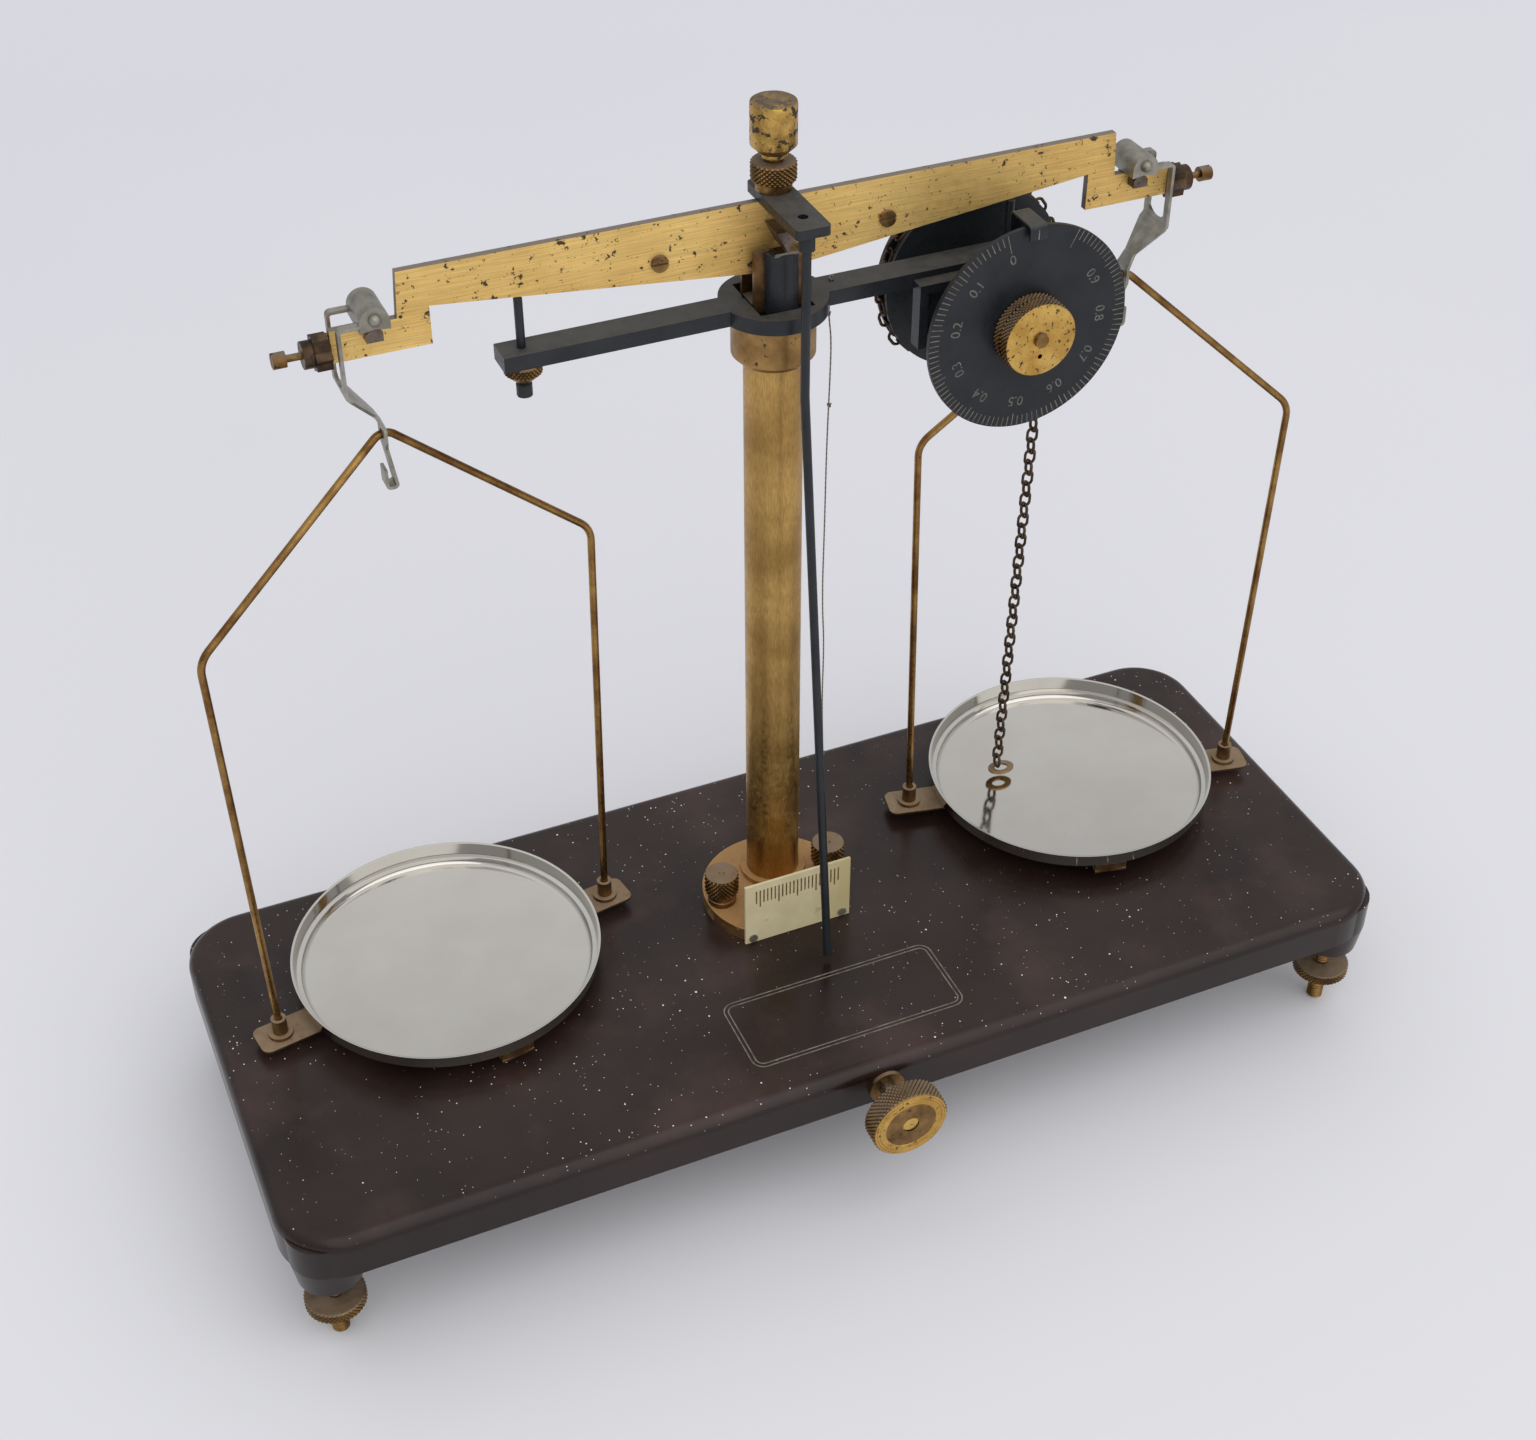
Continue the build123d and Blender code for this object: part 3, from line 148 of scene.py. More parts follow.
# Plumb thread: a limp grey thread of 0.5 mm, knotted above the cross arm and at its foot. It hangs
# a little crooked in front of the pillar. The knots are drawn-up loops of the same thread.
pillar_x = 2.55
pillar_y = 30
base_top = 57
thread_radius = 0.25
thread_route = [
    (20.1, 1.5, 240.4),
    (19.7, 1.5, 234.4),
    (19.5, 1.5, 228.4),
    (20.7, 1.6, 219.4),
    (20.3, 1.5, 203.0),
    (19.6, 1.4, 180.0),
    (19.45, 1.5, 150.0),
    (19.0, 1.5, 120.0),
    (20.2, 1.6, 100.0),
    (19.6, 1.5, 74.0),
    (20.5, 1.6, 52.5),
]
knot_heights = (241.4, 229.0, 196.0, 51.5)
knot_size = 0.24
knot_points = 24


def thread_curve(name, points, closed=False):
    """A thread along points, in millimetres, as a NURBS curve."""
    line = bpy.data.curves.new(name, "CURVE")
    line.dimensions = "3D"
    line.resolution_u = 12
    line.bevel_depth = thread_radius * mm
    line.bevel_resolution = 3
    spline = line.splines.new("NURBS")
    spline.points.add(len(points) - 1)
    for point, (x, y, z) in zip(spline.points, points):
        point.co = (x * mm, y * mm, z * mm, 1)
    spline.order_u = 3
    spline.use_endpoint_u = not closed
    spline.use_cyclic_u = closed
    piece = bpy.data.objects.new(name, line)
    scene.collection.objects.link(piece)
    return piece


def pick(piece):
    """Makes piece the one selected and active object."""
    bpy.ops.object.select_all(action="DESELECT")
    bpy.context.view_layer.objects.active = piece
    piece.select_set(True)


def as_mesh(piece):
    """Turns a curve or a text into a mesh, in place."""
    pick(piece)
    bpy.ops.object.convert(target="MESH")
    return bpy.context.object


def joined(name, parts):
    """One mesh of several."""
    bpy.ops.object.select_all(action="DESELECT")
    for part in parts:
        part.select_set(True)
    bpy.context.view_layer.objects.active = parts[0]
    if len(parts) > 1:
        bpy.ops.object.join()
    piece = bpy.context.object
    piece.name = name
    return piece


# Grey cotton, twisted: fine slanting strands in colour and relief.
thread_grey, tree, surface, place = new_material("twisted_grey_cotton")
strands = add_node(
    tree,
    "TexWave",
    {"Vector": place.outputs["Object"], "Scale": 1 / (0.5 * mm) / 6, "Distortion": 1.5},
    bands_direction="DIAGONAL",
)
tree.links.new(
    mixed(tree, strands.outputs["Fac"], shade("56524C"), shade("8B8378")),
    surface.inputs["Base Color"],
)
surface.inputs["Roughness"].default_value = 0.9
relief = add_node(tree, "Bump", {"Height": strands.outputs["Fac"], "Distance": 0.05 * mm})
tree.links.new(relief.outputs["Normal"], surface.inputs["Normal"])

thread_points = [(pillar_x + x, pillar_y + y, base_top + z) for x, y, z in thread_route]
thread = thread_curve("hanging_thread", thread_points)
thread.data.materials.append(thread_grey)
knots = []
for height in knot_heights:
    near = min(thread_route, key=lambda point: abs(point[2] - height))
    loop = []
    for k in range(knot_points):
        t = k * 2 * pi / knot_points
        loop.append(
            (
                pillar_x + near[0] + knot_size * (sin(t) + 2 * sin(2 * t)),
                pillar_y + near[1] + knot_size * sin(3 * t),
                base_top + height + knot_size * (cos(t) - 2 * cos(2 * t)),
            )
        )
    knots.append(as_mesh(thread_curve("loop", loop, closed=True)))
thread_knots = joined("tied_knots", knots)
thread_knots.data.materials.append(thread_grey)
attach(thread, "root")
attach(thread_knots, "root")
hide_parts("plumb_thread")
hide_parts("thread_knots")

# Base: one hollow black-brown phenolic moulding, satin, with grey dust and many fine white specks
# on its top and a faint reddish bloom. A double ruled border in cream marks a plain panel on it.
border_x = (-41.4, 38.9)
border_y = (-56.8, -24.3)
border_corner = 4.5
border_line = 0.45
border_gap = 1.5
# Each kind of speck: the mean distance of its grains, their thinnest and thickest share of it, and
# how many stay away.
speck_kinds = ((1.9, 0.06, 0.19, 0.2), (4.2, 0.04, 0.13, 0.5), (21, 0.0, 0.04, 0.6))


def dress(names, material, bevel=0.0, angle=30):
    """Gives CAD nodes a material, smooth shading up to that angle, and small rounded edges."""
    for name in names:
        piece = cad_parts[name]
        pick(piece)
        bpy.ops.object.shade_smooth_by_angle(angle=radians(angle))
        if not piece.material_slots:
            piece.data.materials.append(material)
        for held in piece.material_slots:
            held.material = material
        if bevel:
            rounding = piece.modifiers.new("rounded_edges", "BEVEL")
            rounding.width = bevel * mm
            rounding.segments = 2
            rounding.limit_method = "ANGLE"
            rounding.angle_limit = radians(40)
            rounding.harden_normals = True


def product(tree, first, second):
    """The two values multiplied."""
    return add_node(tree, "Math", {0: first, 1: second}, operation="MULTIPLY").outputs[0]


# Phenolic moulding: the specks are dust grains up to 0.7 mm across, thicker in some places, with
# fewer up to 1.1 mm and a few drops up to 1.7 mm.
phenolic, tree, surface, place = new_material("dusty_black_brown_phenolic")
here = place.outputs["Object"]
upward = ranged(
    tree, add_node(tree, "SeparateXYZ", {0: place.outputs["Normal"]}).outputs["Z"], 0.2, 0.95
)
body = mixed(tree, ranged(tree, cloud(tree, here, 60), 0.4, 0.65), shade("1F1411"), shade("281B18"))
bloom = ranged(tree, cloud(tree, here, 38, 4), 0.5, 0.68)
bloom = product(tree, bloom, upward)
body = mixed(tree, ranged(tree, bloom, 0, 1, 0, 0.5), body, shade("483431"))
film = cloud(tree, here, 45, 5)
film = product(tree, ranged(tree, film, 0.3, 0.75), upward)
body = mixed(tree, ranged(tree, film, 0, 1, 0, 0.14), body, shade("6A5850"))
for cell, thin, thick, first in speck_kinds:
    grains = add_node(tree, "TexVoronoi", {"Vector": here, "Scale": 1 / (cell * mm)})
    spread = add_node(tree, "SeparateColor", {0: grains.outputs["Color"]}).outputs[0]
    crowd = ranged(tree, cloud(tree, here, 50 + cell), 0.35, 0.7, thin, thick)
    reach = ranged(tree, spread, first, 1.0, 0.0, 1.0)
    reach = product(tree, reach, crowd)
    speck = add_node(
        tree, "Math", {0: grains.outputs["Distance"], 1: reach}, operation="LESS_THAN"
    ).outputs[0]
    body = mixed(tree, product(tree, speck, upward), body, shade("E2DED6"))
tree.links.new(body, surface.inputs["Base Color"])
surface.inputs["Specular IOR Level"].default_value = 0.3
gloss = ranged(tree, film, 0, 1, 0.24, 0.38)
tree.links.new(gloss, surface.inputs["Roughness"])
relief = add_node(
    tree, "Bump", {"Height": cloud(tree, here, 2.5), "Distance": 0.03 * mm, "Strength": 0.5}
)
tree.links.new(relief.outputs["Normal"], surface.inputs["Normal"])
dress(["base_moulding"], phenolic, 0, 40)


def line_colour(name, light, dark, patch):
    """The matt colour of engraved or printed lines, worn in patches of that many millimetres."""
    made, tree, surface, place = new_material(name)
    worn = ranged(tree, cloud(tree, place.outputs["Object"], patch), 0.35, 0.65)
    tree.links.new(mixed(tree, worn, shade(light), shade(dark)), surface.inputs["Base Color"])
    surface.inputs["Roughness"].default_value = 0.6
    return made


def ruled_border(inset):
    """A thin closed line round the panel, that far inside its outer edge."""
    bpy.ops.object.select_all(action="DESELECT")
    centre = (sum(border_x) / 2 * mm, sum(border_y) / 2 * mm, (base_top + 0.01) * mm)
    bpy.ops.mesh.primitive_plane_add(size=1, location=centre)
    line = bpy.context.object
    line.scale = (
        (border_x[1] - border_x[0] - 2 * inset) * mm,
        (border_y[1] - border_y[0] - 2 * inset) * mm,
        1,
    )
    bpy.ops.object.transform_apply(location=True, rotation=True, scale=True)
    bpy.ops.object.mode_set(mode="EDIT")
    bpy.ops.mesh.bevel(offset=(border_corner - inset) * mm, segments=8, affect="VERTICES")
    bpy.ops.mesh.select_all(action="SELECT")
    bpy.ops.mesh.inset(thickness=border_line * mm)
    bpy.ops.mesh.delete(type="FACE")
    bpy.ops.object.mode_set(mode="OBJECT")
    return line


# Cream filling of the engraved lines, worn thin in places.
cream_lines = line_colour("worn_cream_engraving", "7F796C", "575149", 3)
border = joined("panel_border", [ruled_border(0), ruled_border(border_gap)])
border.data.materials.append(cream_lines)
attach(border, "root")

# Feet: two turned rear feet, and in front two levelling screws with a knurled disc. All brass, the
# rear ones lacquered black, and all stand straight on the table.


def grey(value):
    """A number as the grey that a colour mix takes. A socket stays as it is."""
    return value if isinstance(value, bpy.types.NodeSocket) else (value, value, value, 1)


def patina(
    name,
    light,
    dark,
    patch,
    metal=1.0,
    rough=0.35,
    spread=0.12,
    brush=None,
    spots=(),
    edge=None,
    dust=None,
    relief_depth=0.01,
):
    """An aged metal or lacquer. patch is the size of its light and dark areas in millimetres.
    brush gives the stretch of its brush marks in x, y and z. spots are (colour, size, cover).
    edge is the colour of faces that don't look to the front or back, and dust that of a film.
    The grooves of a knurl are painted darker, as painted shade."""
    made, tree, surface, place = new_material(name)
    here = place.outputs["Object"]
    tone = ranged(tree, cloud(tree, here, patch, 4), 0.36, 0.64)
    colour = mixed(tree, tone, shade(light), shade(dark))
    fine = cloud(tree, here, patch / 12, 4, 0.65)
    roughness = ranged(tree, fine, 0.3, 0.7, max(rough - spread, 0.03), rough + spread)
    height = fine
    if not metal:
        surface.inputs["Specular IOR Level"].default_value = 0.34
    if brush:
        stretched = add_node(tree, "Mapping", {"Vector": here, "Scale": brush}).outputs[0]
        marks = cloud(tree, stretched, 0.35, 2)
        height = marks
        streak = ranged(tree, marks, 0.35, 0.65, 0.82, 1.08)
        colour = mixed(tree, 1.0, colour, streak, "MULTIPLY")
    axis = add_node(tree, "SeparateXYZ", {0: place.outputs["Normal"]}).outputs
    if edge:
        facing = add_node(tree, "Math", {0: axis["Y"]}, operation="ABSOLUTE").outputs[0]
        colour = mixed(tree, ranged(tree, facing, 0.85, 0.5), colour, shade(edge))
    metallic = metal
    for spot_colour, size, cover in spots:
        ragged = cloud(tree, here, size, 5, 0.6)
        amount = ranged(tree, ragged, 1 - cover, 1 - cover + 0.035)
        colour = mixed(tree, amount, colour, shade(spot_colour))
        roughness = mixed(tree, amount, roughness, grey(0.6))
        metallic = mixed(tree, amount, grey(metallic), grey(0.25))
    # Painted shade: the pressed grooves of a knurl are darkened almost to black.
    groove_shade = add_node(tree, "Attribute", attribute_name="groove_shade").outputs["Fac"]
    colour = mixed(tree, ranged(tree, groove_shade, 0.25, 1.0, 0, 0.85), colour, shade("1C130C"))
    if dust:
        lying = ranged(tree, axis["Z"], 0.55, 0.95)
        film = ranged(tree, cloud(tree, here, 4, 5, 0.7), 0.25, 0.6, 0.35, 0.95)
        lying = product(tree, lying, film)
        colour = mixed(tree, lying, colour, shade(dust))
        roughness = mixed(tree, lying, roughness, grey(0.75))
        metallic = mixed(tree, lying, grey(metallic), grey(0))
    tree.links.new(colour, surface.inputs["Base Color"])
    tree.links.new(roughness, surface.inputs["Roughness"])
    if isinstance(metallic, bpy.types.NodeSocket):
        tree.links.new(metallic, surface.inputs["Metallic"])
    else:
        surface.inputs["Metallic"].default_value = metallic
    bump = add_node(tree, "Bump", {"Height": height, "Distance": relief_depth * mm})
    tree.links.new(bump.outputs["Normal"], surface.inputs["Normal"])
    return made


black_lacquer = patina(
    "black_lacquer_worn", "1B1E22", "25282B", 14, metal=0.0, rough=0.36, dust="4F4C46"
)
aged_brass = patina(
    "aged_brown_brass",
    "9C7A48",
    "64492C",
    9,
    rough=0.38,
    spots=(("2E2218", 2.2, 0.38),),
    dust="7E6E5C",
)
dress(["rear_feet"], black_lacquer, 0.3)


def drawn(name, points):
    """A wire through points, in millimetres, left in edit mode with all of it selected."""
    bpy.ops.object.select_all(action="DESELECT")
    bpy.ops.mesh.primitive_plane_add(size=mm)
    piece = bpy.context.object
    piece.name = name
    bpy.ops.object.mode_set(mode="EDIT")
    bpy.ops.mesh.select_mode(type="VERT")
    bpy.ops.mesh.merge(type="CENTER")
    bpy.ops.transform.translate(value=[value * mm for value in points[0]])
    for before, after in zip(points, points[1:]):
        move = tuple((b - a) * mm for a, b in zip(before, after))
        bpy.ops.mesh.extrude_region_move(TRANSFORM_OT_translate={"value": move})
    bpy.ops.mesh.select_all(action="SELECT")
    return piece


def turned(name, profile, steps, knurl=None):
    """A turned piece about the Z axis, from (radius, height) pairs in millimetres. knurl is
    (low, high, depth): between these heights every second point is pressed in, and each square
    is folded along its pressed corners, which leaves small pyramids."""
    piece = drawn(name, [(radius, 0, height) for radius, height in profile])
    bpy.ops.mesh.spin(steps=steps, angle=2 * pi, center=(0, 0, 0), axis=(0, 0, 1))
    bpy.ops.mesh.select_all(action="SELECT")
    bpy.ops.mesh.remove_doubles(threshold=1e-6)
    bpy.ops.mesh.normals_make_consistent(inside=False)
    bpy.ops.mesh.select_all(action="DESELECT")
    bpy.ops.object.mode_set(mode="OBJECT")
    if knurl:
        low, high, depth = knurl
        heights = sorted({round(point[1], 4) for point in profile if low <= point[1] <= high})
        for vertex in piece.data.vertices:
            z = round(vertex.co.z / mm, 4)
            row = next((k for k, level in enumerate(heights) if abs(level - z) < 0.01), None)
            if row is not None:
                column = round(atan2(vertex.co.y, vertex.co.x) / (2 * pi / steps))
                vertex.select = (row + column) % 2 == 1
        bpy.ops.object.mode_set(mode="EDIT")
        inward = 1 - depth / max(radius for radius, height in profile)
        bpy.ops.transform.resize(value=(inward, inward, 1), center_override=(0, 0, 0))
        bpy.ops.object.mode_set(mode="OBJECT")
        # The pressed points are kept, so that patina can paint shade into the knurl's grooves.
        pressed = piece.data.attributes.new("groove_shade", "FLOAT", "POINT")
        for vertex in piece.data.vertices:
            pressed.data[vertex.index].value = 1.0 if vertex.select else 0.0
        bpy.ops.object.mode_set(mode="EDIT")
        bpy.ops.mesh.select_all(action="SELECT")
        bpy.ops.mesh.quads_convert_to_tris(quad_method="SHORTEST_DIAGONAL")
        bpy.ops.object.mode_set(mode="OBJECT")
    return piece


def placed(piece, base, toward=(0, 0, 1), smooth=35):
    """Stands a piece made about the Z axis at base, in millimetres, with its axis turned toward."""
    pick(piece)
    piece.rotation_mode = "QUATERNION"
    piece.rotation_quaternion = Vector((0, 0, 1)).rotation_difference(Vector(toward))
    piece.location = [value * mm for value in base]
    bpy.ops.object.transform_apply(location=True, rotation=True, scale=True)
    if smooth:
        bpy.ops.object.shade_smooth_by_angle(angle=radians(smooth))
    return piece


def rows(radius, low, high, count):
    """The points of a side that a knurl is cut into."""
    return [(radius, low + (high - low) * k / count) for k in range(count + 1)]


foot_xs = {"left": -192.5, "right": 192.5}
foot_y = -57.95
thread_root = 2.6
thread_crest = 2.95
half_pitch = 0.6
disc_low = 14.2
disc_high = 18.2
knurl_low = 14.6
knurl_high = 17.8
upper_thread_low = 18.8
screw_top = 45.8
lower_thread = [(thread_crest if k % 2 else thread_root, half_pitch * k) for k in range(23)]
upper_thread = [
    (thread_crest if k % 2 else thread_root, upper_thread_low + half_pitch * k) for k in range(45)
]
for side, x in foot_xs.items():
    foot = turned(
        f"levelling_screw_{side}",
        [(0, 0), (2.4, 0), *lower_thread[1:], (thread_root, disc_low), (9.6, disc_low)]
        + rows(10.4, knurl_low, knurl_high, 4)
        + [(9.6, disc_high), (thread_root, disc_high), *upper_thread, (2.2, screw_top)]
        + [(0, screw_top)],
        88,
        (knurl_low, knurl_high, 0.4),
    )
    placed(foot, (x, foot_y, 0), (0, 0, 1), 25)
    foot.data.materials.append(aged_brass)
    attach(foot, f"foot_{side}")
    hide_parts(f"levelling_foot_{side}")

# Release knob: turned brass on a steel shaft, with a fine diamond knurl on its rim. Its face is
# bright and ringed by two thin grooves, and its middle lies in a dark recess.
front = (0, -1, 0)
knob_axis_z = 47.2
knob_back_y = -83.95
bright_brass = patina(
    "bright_brass_face",
    "D9B263",
    "BC9148",
    8,
    rough=0.3,
    spots=(("4A3316", 1.6, 0.4),),
    relief_depth=0.02,
)
knob_rim = turned(
    "release_knob_rim",
    [(2.9, 0), (13.0, 0), *rows(14, 0.7, 7.2, 8), (13.3, 7.9), (3, 7.9)],
    104,
    (0.7, 7.2, 0.5),
)
knob_face = turned(
    "release_knob_face",
    [(0, 7.5), (0, 7.55), (7.3, 7.55), (7.6, 7.3), (8.9, 7.3), (9.4, 8), (11.4, 8), (11.55, 7.85)]
    + [(11.7, 8), (12.4, 8), (12.55, 7.85), (12.7, 8), (13.1, 8), (13.3, 7.9), (12, 7.5), (0, 7.5)],
    96,
)
placed(knob_rim, (0, knob_back_y, knob_axis_z), front, 0)
placed(knob_face, (0, knob_back_y, knob_axis_z), front)
knob_rim.data.materials.append(aged_brass)
knob_face.data.materials.append(bright_brass)
for piece in (knob_rim, knob_face):
    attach(piece, "release")
    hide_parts("release_knob")
ground_steel = patina("ground_steel", "8E8A84", "6C6661", 10, rough=0.32, brush=(1, 0.05, 1))
dress(["release_shaft", "lift_rod", "knife_planes"], ground_steel, 0, 40)
dress(["release_bearings"], aged_brass)

# Pillar: satin brass tube on a flange with a flat front, and a plain turned collar at its head.
# The tube and collar are yellow where rubbed and brown elsewhere, with small dark corrosion spots.
pillar_brass = patina(
    "satin_pillar_brass",
    "C9A362",
    "A9854C",
    22,
    rough=0.4,
    brush=(1, 1, 0.12),
    spots=(("3A2A18", 1.6, 0.3), ("5A4222", 4, 0.3)),
)
flange_brass = patina(
    "brown_flange_brass",
    "D8AA72",
    "B48C60",
    12,
    rough=0.42,
    spots=(("8E7050", 6, 0.4),),
    dust="A8804E",
)
collar_brass = patina(
    "dull_collar_brass",
    "AE8A56",
    "84663E",
    10,
    rough=0.4,
    spots=(("3A2A18", 2.2, 0.36),),
)
dress(["pillar_tube"], pillar_brass, 0, 40)
dress(["pillar_collar"], collar_brass, 0.3, 40)
dress(["pillar_flange"], flange_brass, 0.4, 35)

# Thumb nuts: two brass nuts on the flange, with a diamond knurl over a plain collar and a small
# centre dimple in the dusty top.
nut_xs = (-21.55, 20.65)
nut_y = 20.7
nut_foot_z = 62
nuts = []
for x in nut_xs:
    nut = turned(
        "nut",
        [(0, 0), (5.0, 0), (5.2, 0.3), (5.2, 2.2), (4.9, 2.5), (5.2, 2.8), (5.2, 4.7), (5.5, 5)]
        + rows(6.3, 5.4, 12.2, 7)
        + [(5.8, 13), (1.0, 13), (0.7, 12.6), (0, 12.5)],
        48,
        (5.4, 12.2, 0.5),
    )
    nuts.append(placed(nut, (x, nut_y, nut_foot_z), (0, 0, 1), 20))
thumb_nuts = joined("knurled_thumb_nuts", nuts)
thumb_nuts.data.materials.append(aged_brass)
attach(thumb_nuts, "root")
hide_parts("thumb_nuts")

# Scale plate: yellowed ivory-coloured sheet, riveted to the flange's flat front. Its graduations
# are printed in dark brown, every fifth one longer.
scale_front_y = 0.3
scale_first_x = -16.65
scale_last_x = 15.25
scale_marks = 23
mark_top = 81.4
mark_width = 0.55
mark_length = 6.0
fifth_mark_length = 7.8
ivory, tree, surface, place = new_material("yellowed_ivory_plate")
here = place.outputs["Object"]
# Painted shade: the plate is darkened towards its right edge, standing in for light falling off
# there.
across = ranged(
    tree, add_node(tree, "SeparateXYZ", {0: here}).outputs["X"], 0.002, 0.021, 0, 0.75
)
aged = mixed(tree, ranged(tree, cloud(tree, here, 12), 0.35, 0.7), shade("DACEA8"), shade("CBBD92"))
# This mix adds the painted shade to the plate's aged tones.
aged = mixed(tree, across, aged, shade("B5A470"))
stain = ranged(tree, cloud(tree, here, 5, 5, 0.65), 0.62, 0.72, 0, 0.6)
tree.links.new(mixed(tree, stain, aged, shade("A88F55")), surface.inputs["Base Color"])
surface.inputs["Roughness"].default_value = 0.42
dress(["scale_plate"], ivory, 0.12)


def bar_mark(name, width, length):
    """A flat mark in the XZ plane, hanging down from its upper middle, facing the front."""
    bpy.ops.object.select_all(action="DESELECT")
    bpy.ops.mesh.primitive_plane_add(size=1, rotation=(radians(90), 0, 0))
    mark = bpy.context.object
    mark.name = name
    mark.scale = (width * mm, length * mm, 1)
    mark.location = (0, 0, -length / 2 * mm)
    bpy.ops.object.transform_apply(location=True, rotation=True, scale=True)
    return mark


marks = []
for k in range(scale_marks):
    mark = bar_mark("mark", mark_width, fifth_mark_length if k % 5 == 1 else mark_length)
    x = scale_first_x + (scale_last_x - scale_first_x) * k / (scale_marks - 1)
    marks.append(placed(mark, (x, scale_front_y - 0.01, mark_top), smooth=0))
scale_lines = joined("scale_graduations", marks)
brown_print = line_colour("faded_brown_print", "4E3F24", "7E6534", 2.5)
scale_lines.data.materials.append(brown_print)
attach(scale_lines, "root")
dull_nickel = patina(
    "dull_nickel", "A29F94", "837F73", 5, metal=0.75, rough=0.42, spots=(("6B6152", 1.4, 0.3),)
)
dress(["scale_rivets"], dull_nickel)

# Cross arm: a black-lacquered casting with a hub, dusty on top, and a stop screw near each end.
# The screws are lacquered too, slotted below, and held by knurled brown lock nuts.
stop_xs = (-78.45, 83.55)
arm_under_z = 292.4
dress(["cross_arm"], black_lacquer, 0.5)
dress(["stop_screw_left", "stop_screw_right"], black_lacquer, 0.2)
lock_nuts = []
for x in stop_xs:
    nut = turned(
        "nut",
        [(1.4, 0), (5.2, 0), *rows(5.95, 0.5, 3.0, 3), (5.2, 3.6), (3.0, 5.6), (1.4, 5.6)]
        + [(1.4, 0)],
        56,
        (0.5, 3.0, 0.35),
    )
    lock_nuts.append(placed(nut, (x, pillar_y, arm_under_z), (0, 0, -1), 20))
stop_nuts = joined("stop_lock_nuts_knurled", lock_nuts)
stop_nuts.data.materials.append(aged_brass)
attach(stop_nuts, "root")
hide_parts("stop_lock_nuts")

# Fork on the lift rod: two cheeks of dull brown brass, with two half-round posts of black-lacquered
# brass screwed outside them.
fork_brass = patina(
    "dull_fork_brass",
    "8A6844",
    "5C4430",
    6,
    rough=0.4,
    spots=(("3A2C1C", 2, 0.4),),
    dust="6A6158",
)
dress(["beam_fork"], fork_brass, 0.15)
dress(["fork_posts"], black_lacquer, 0.25)

# Beam: a thick brass plate, lacquered golden and brushed lengthwise on its faces, with many dark
# corrosion spots and brown edges. Its knives are dark steel, and its screws and nuts brown brass.
beam_brass = patina(
    "brushed_golden_brass",
    "EDC97C",
    "DAB268",
    34,
    metal=0.72,
    rough=0.55,
    spread=0.08,
    brush=(0.02, 1, 1),
    spots=(("40301C", 3.4, 0.37), ("54391A", 1.4, 0.36), ("6B4A20", 0.7, 0.33)),
    edge="8F8377",
)
dark_steel = patina(
    "dark_tarnished_steel",
    "7A6B62",
    "574A44",
    5,
    metal=0.85,
    rough=0.36,
    spots=(("2C211C", 1.2, 0.4),),
)
dress(["beam_plate"], beam_brass, 0.15)
dress(["centre_knife", "end_knives"], dark_steel)
dress(["beam_screws", "end_screws"], aged_brass)
brown_nuts = patina(
    "brown_balance_nuts", "594634", "3A2F27", 4, rough=0.4, spots=(("2A211B", 1.5, 0.42),)
)
dress(["balance_nut_left", "balance_nut_right"], brown_nuts, 0.2)

# Bridge and pointer: a black-lacquered plate clamped on the beam's top, and a long black rod that
# is bent back towards the scale plate.
dress(["bridge_plate"], black_lacquer, 0.35)
dress(["pointer"], black_lacquer)

# Gravity bob: a turned weight of golden-brown, spotted brass. It sits on a stud above the beam's
# middle, locked from below by a diamond-knurled nut.
bob_axis = (pillar_x, pillar_y)
lock_nut_z = 335.4
bob_radius = 7.1
bob_low_z = 342.9
bob_brass = patina(
    "spotted_bob_brass",
    "D0A95C",
    "8C6C3C",
    7,
    rough=0.33,
    brush=(1, 1, 3),
    spots=(("35281A", 2.8, 0.45), ("4A3620", 1.0, 0.38)),
    dust="5E5040",
)
dress(["bob_stud"], aged_brass)
bob = turned(
    "gravity_bob_turned",
    [(3.1, 0), (4.1, 0), (4.2, 0.1), (4.2, 1.2), (4.6, 1.3), (bob_radius - 0.1, 3.6)]
    + [(bob_radius, 3.8), (bob_radius, 16.2), (6.9, 16.7), (6.4, 17), (5.6, 17.2), (0, 17.2)]
    + [(0, 15.4), (3.1, 15.4), (3.1, 0)],
    96,
)
placed(bob, (*bob_axis, bob_low_z), (0, 0, 1), 30)
bob.data.materials.append(bob_brass)
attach(bob, "gravity_bob")
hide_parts("gravity_bob")
bob_nut = turned(
    "bob_nut_knurled",
    [(2.0, 0), (6.5, 0), *rows(7.1, 0.5, 5.5, 7), (6.5, 6), (2.0, 6), (2.0, 0)],
    52,
    (0.5, 5.5, 0.45),
)
placed(bob_nut, (*bob_axis, lock_nut_z), (0, 0, 1), 20)
bob_nut.data.materials.append(aged_brass)
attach(bob_nut, "beam")
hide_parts("bob_lock_nut")

# Hangers: a half-round saddle with a cross pin and ball rides on each end knife, and a bent strap
# hangs from it, its eye taking the bow. All dull nickel.
dress(
    ["hanger_saddle_left", "hanger_saddle_right", "hanger_strap_left", "hanger_strap_right"],
    dull_nickel,
    0.2,
)

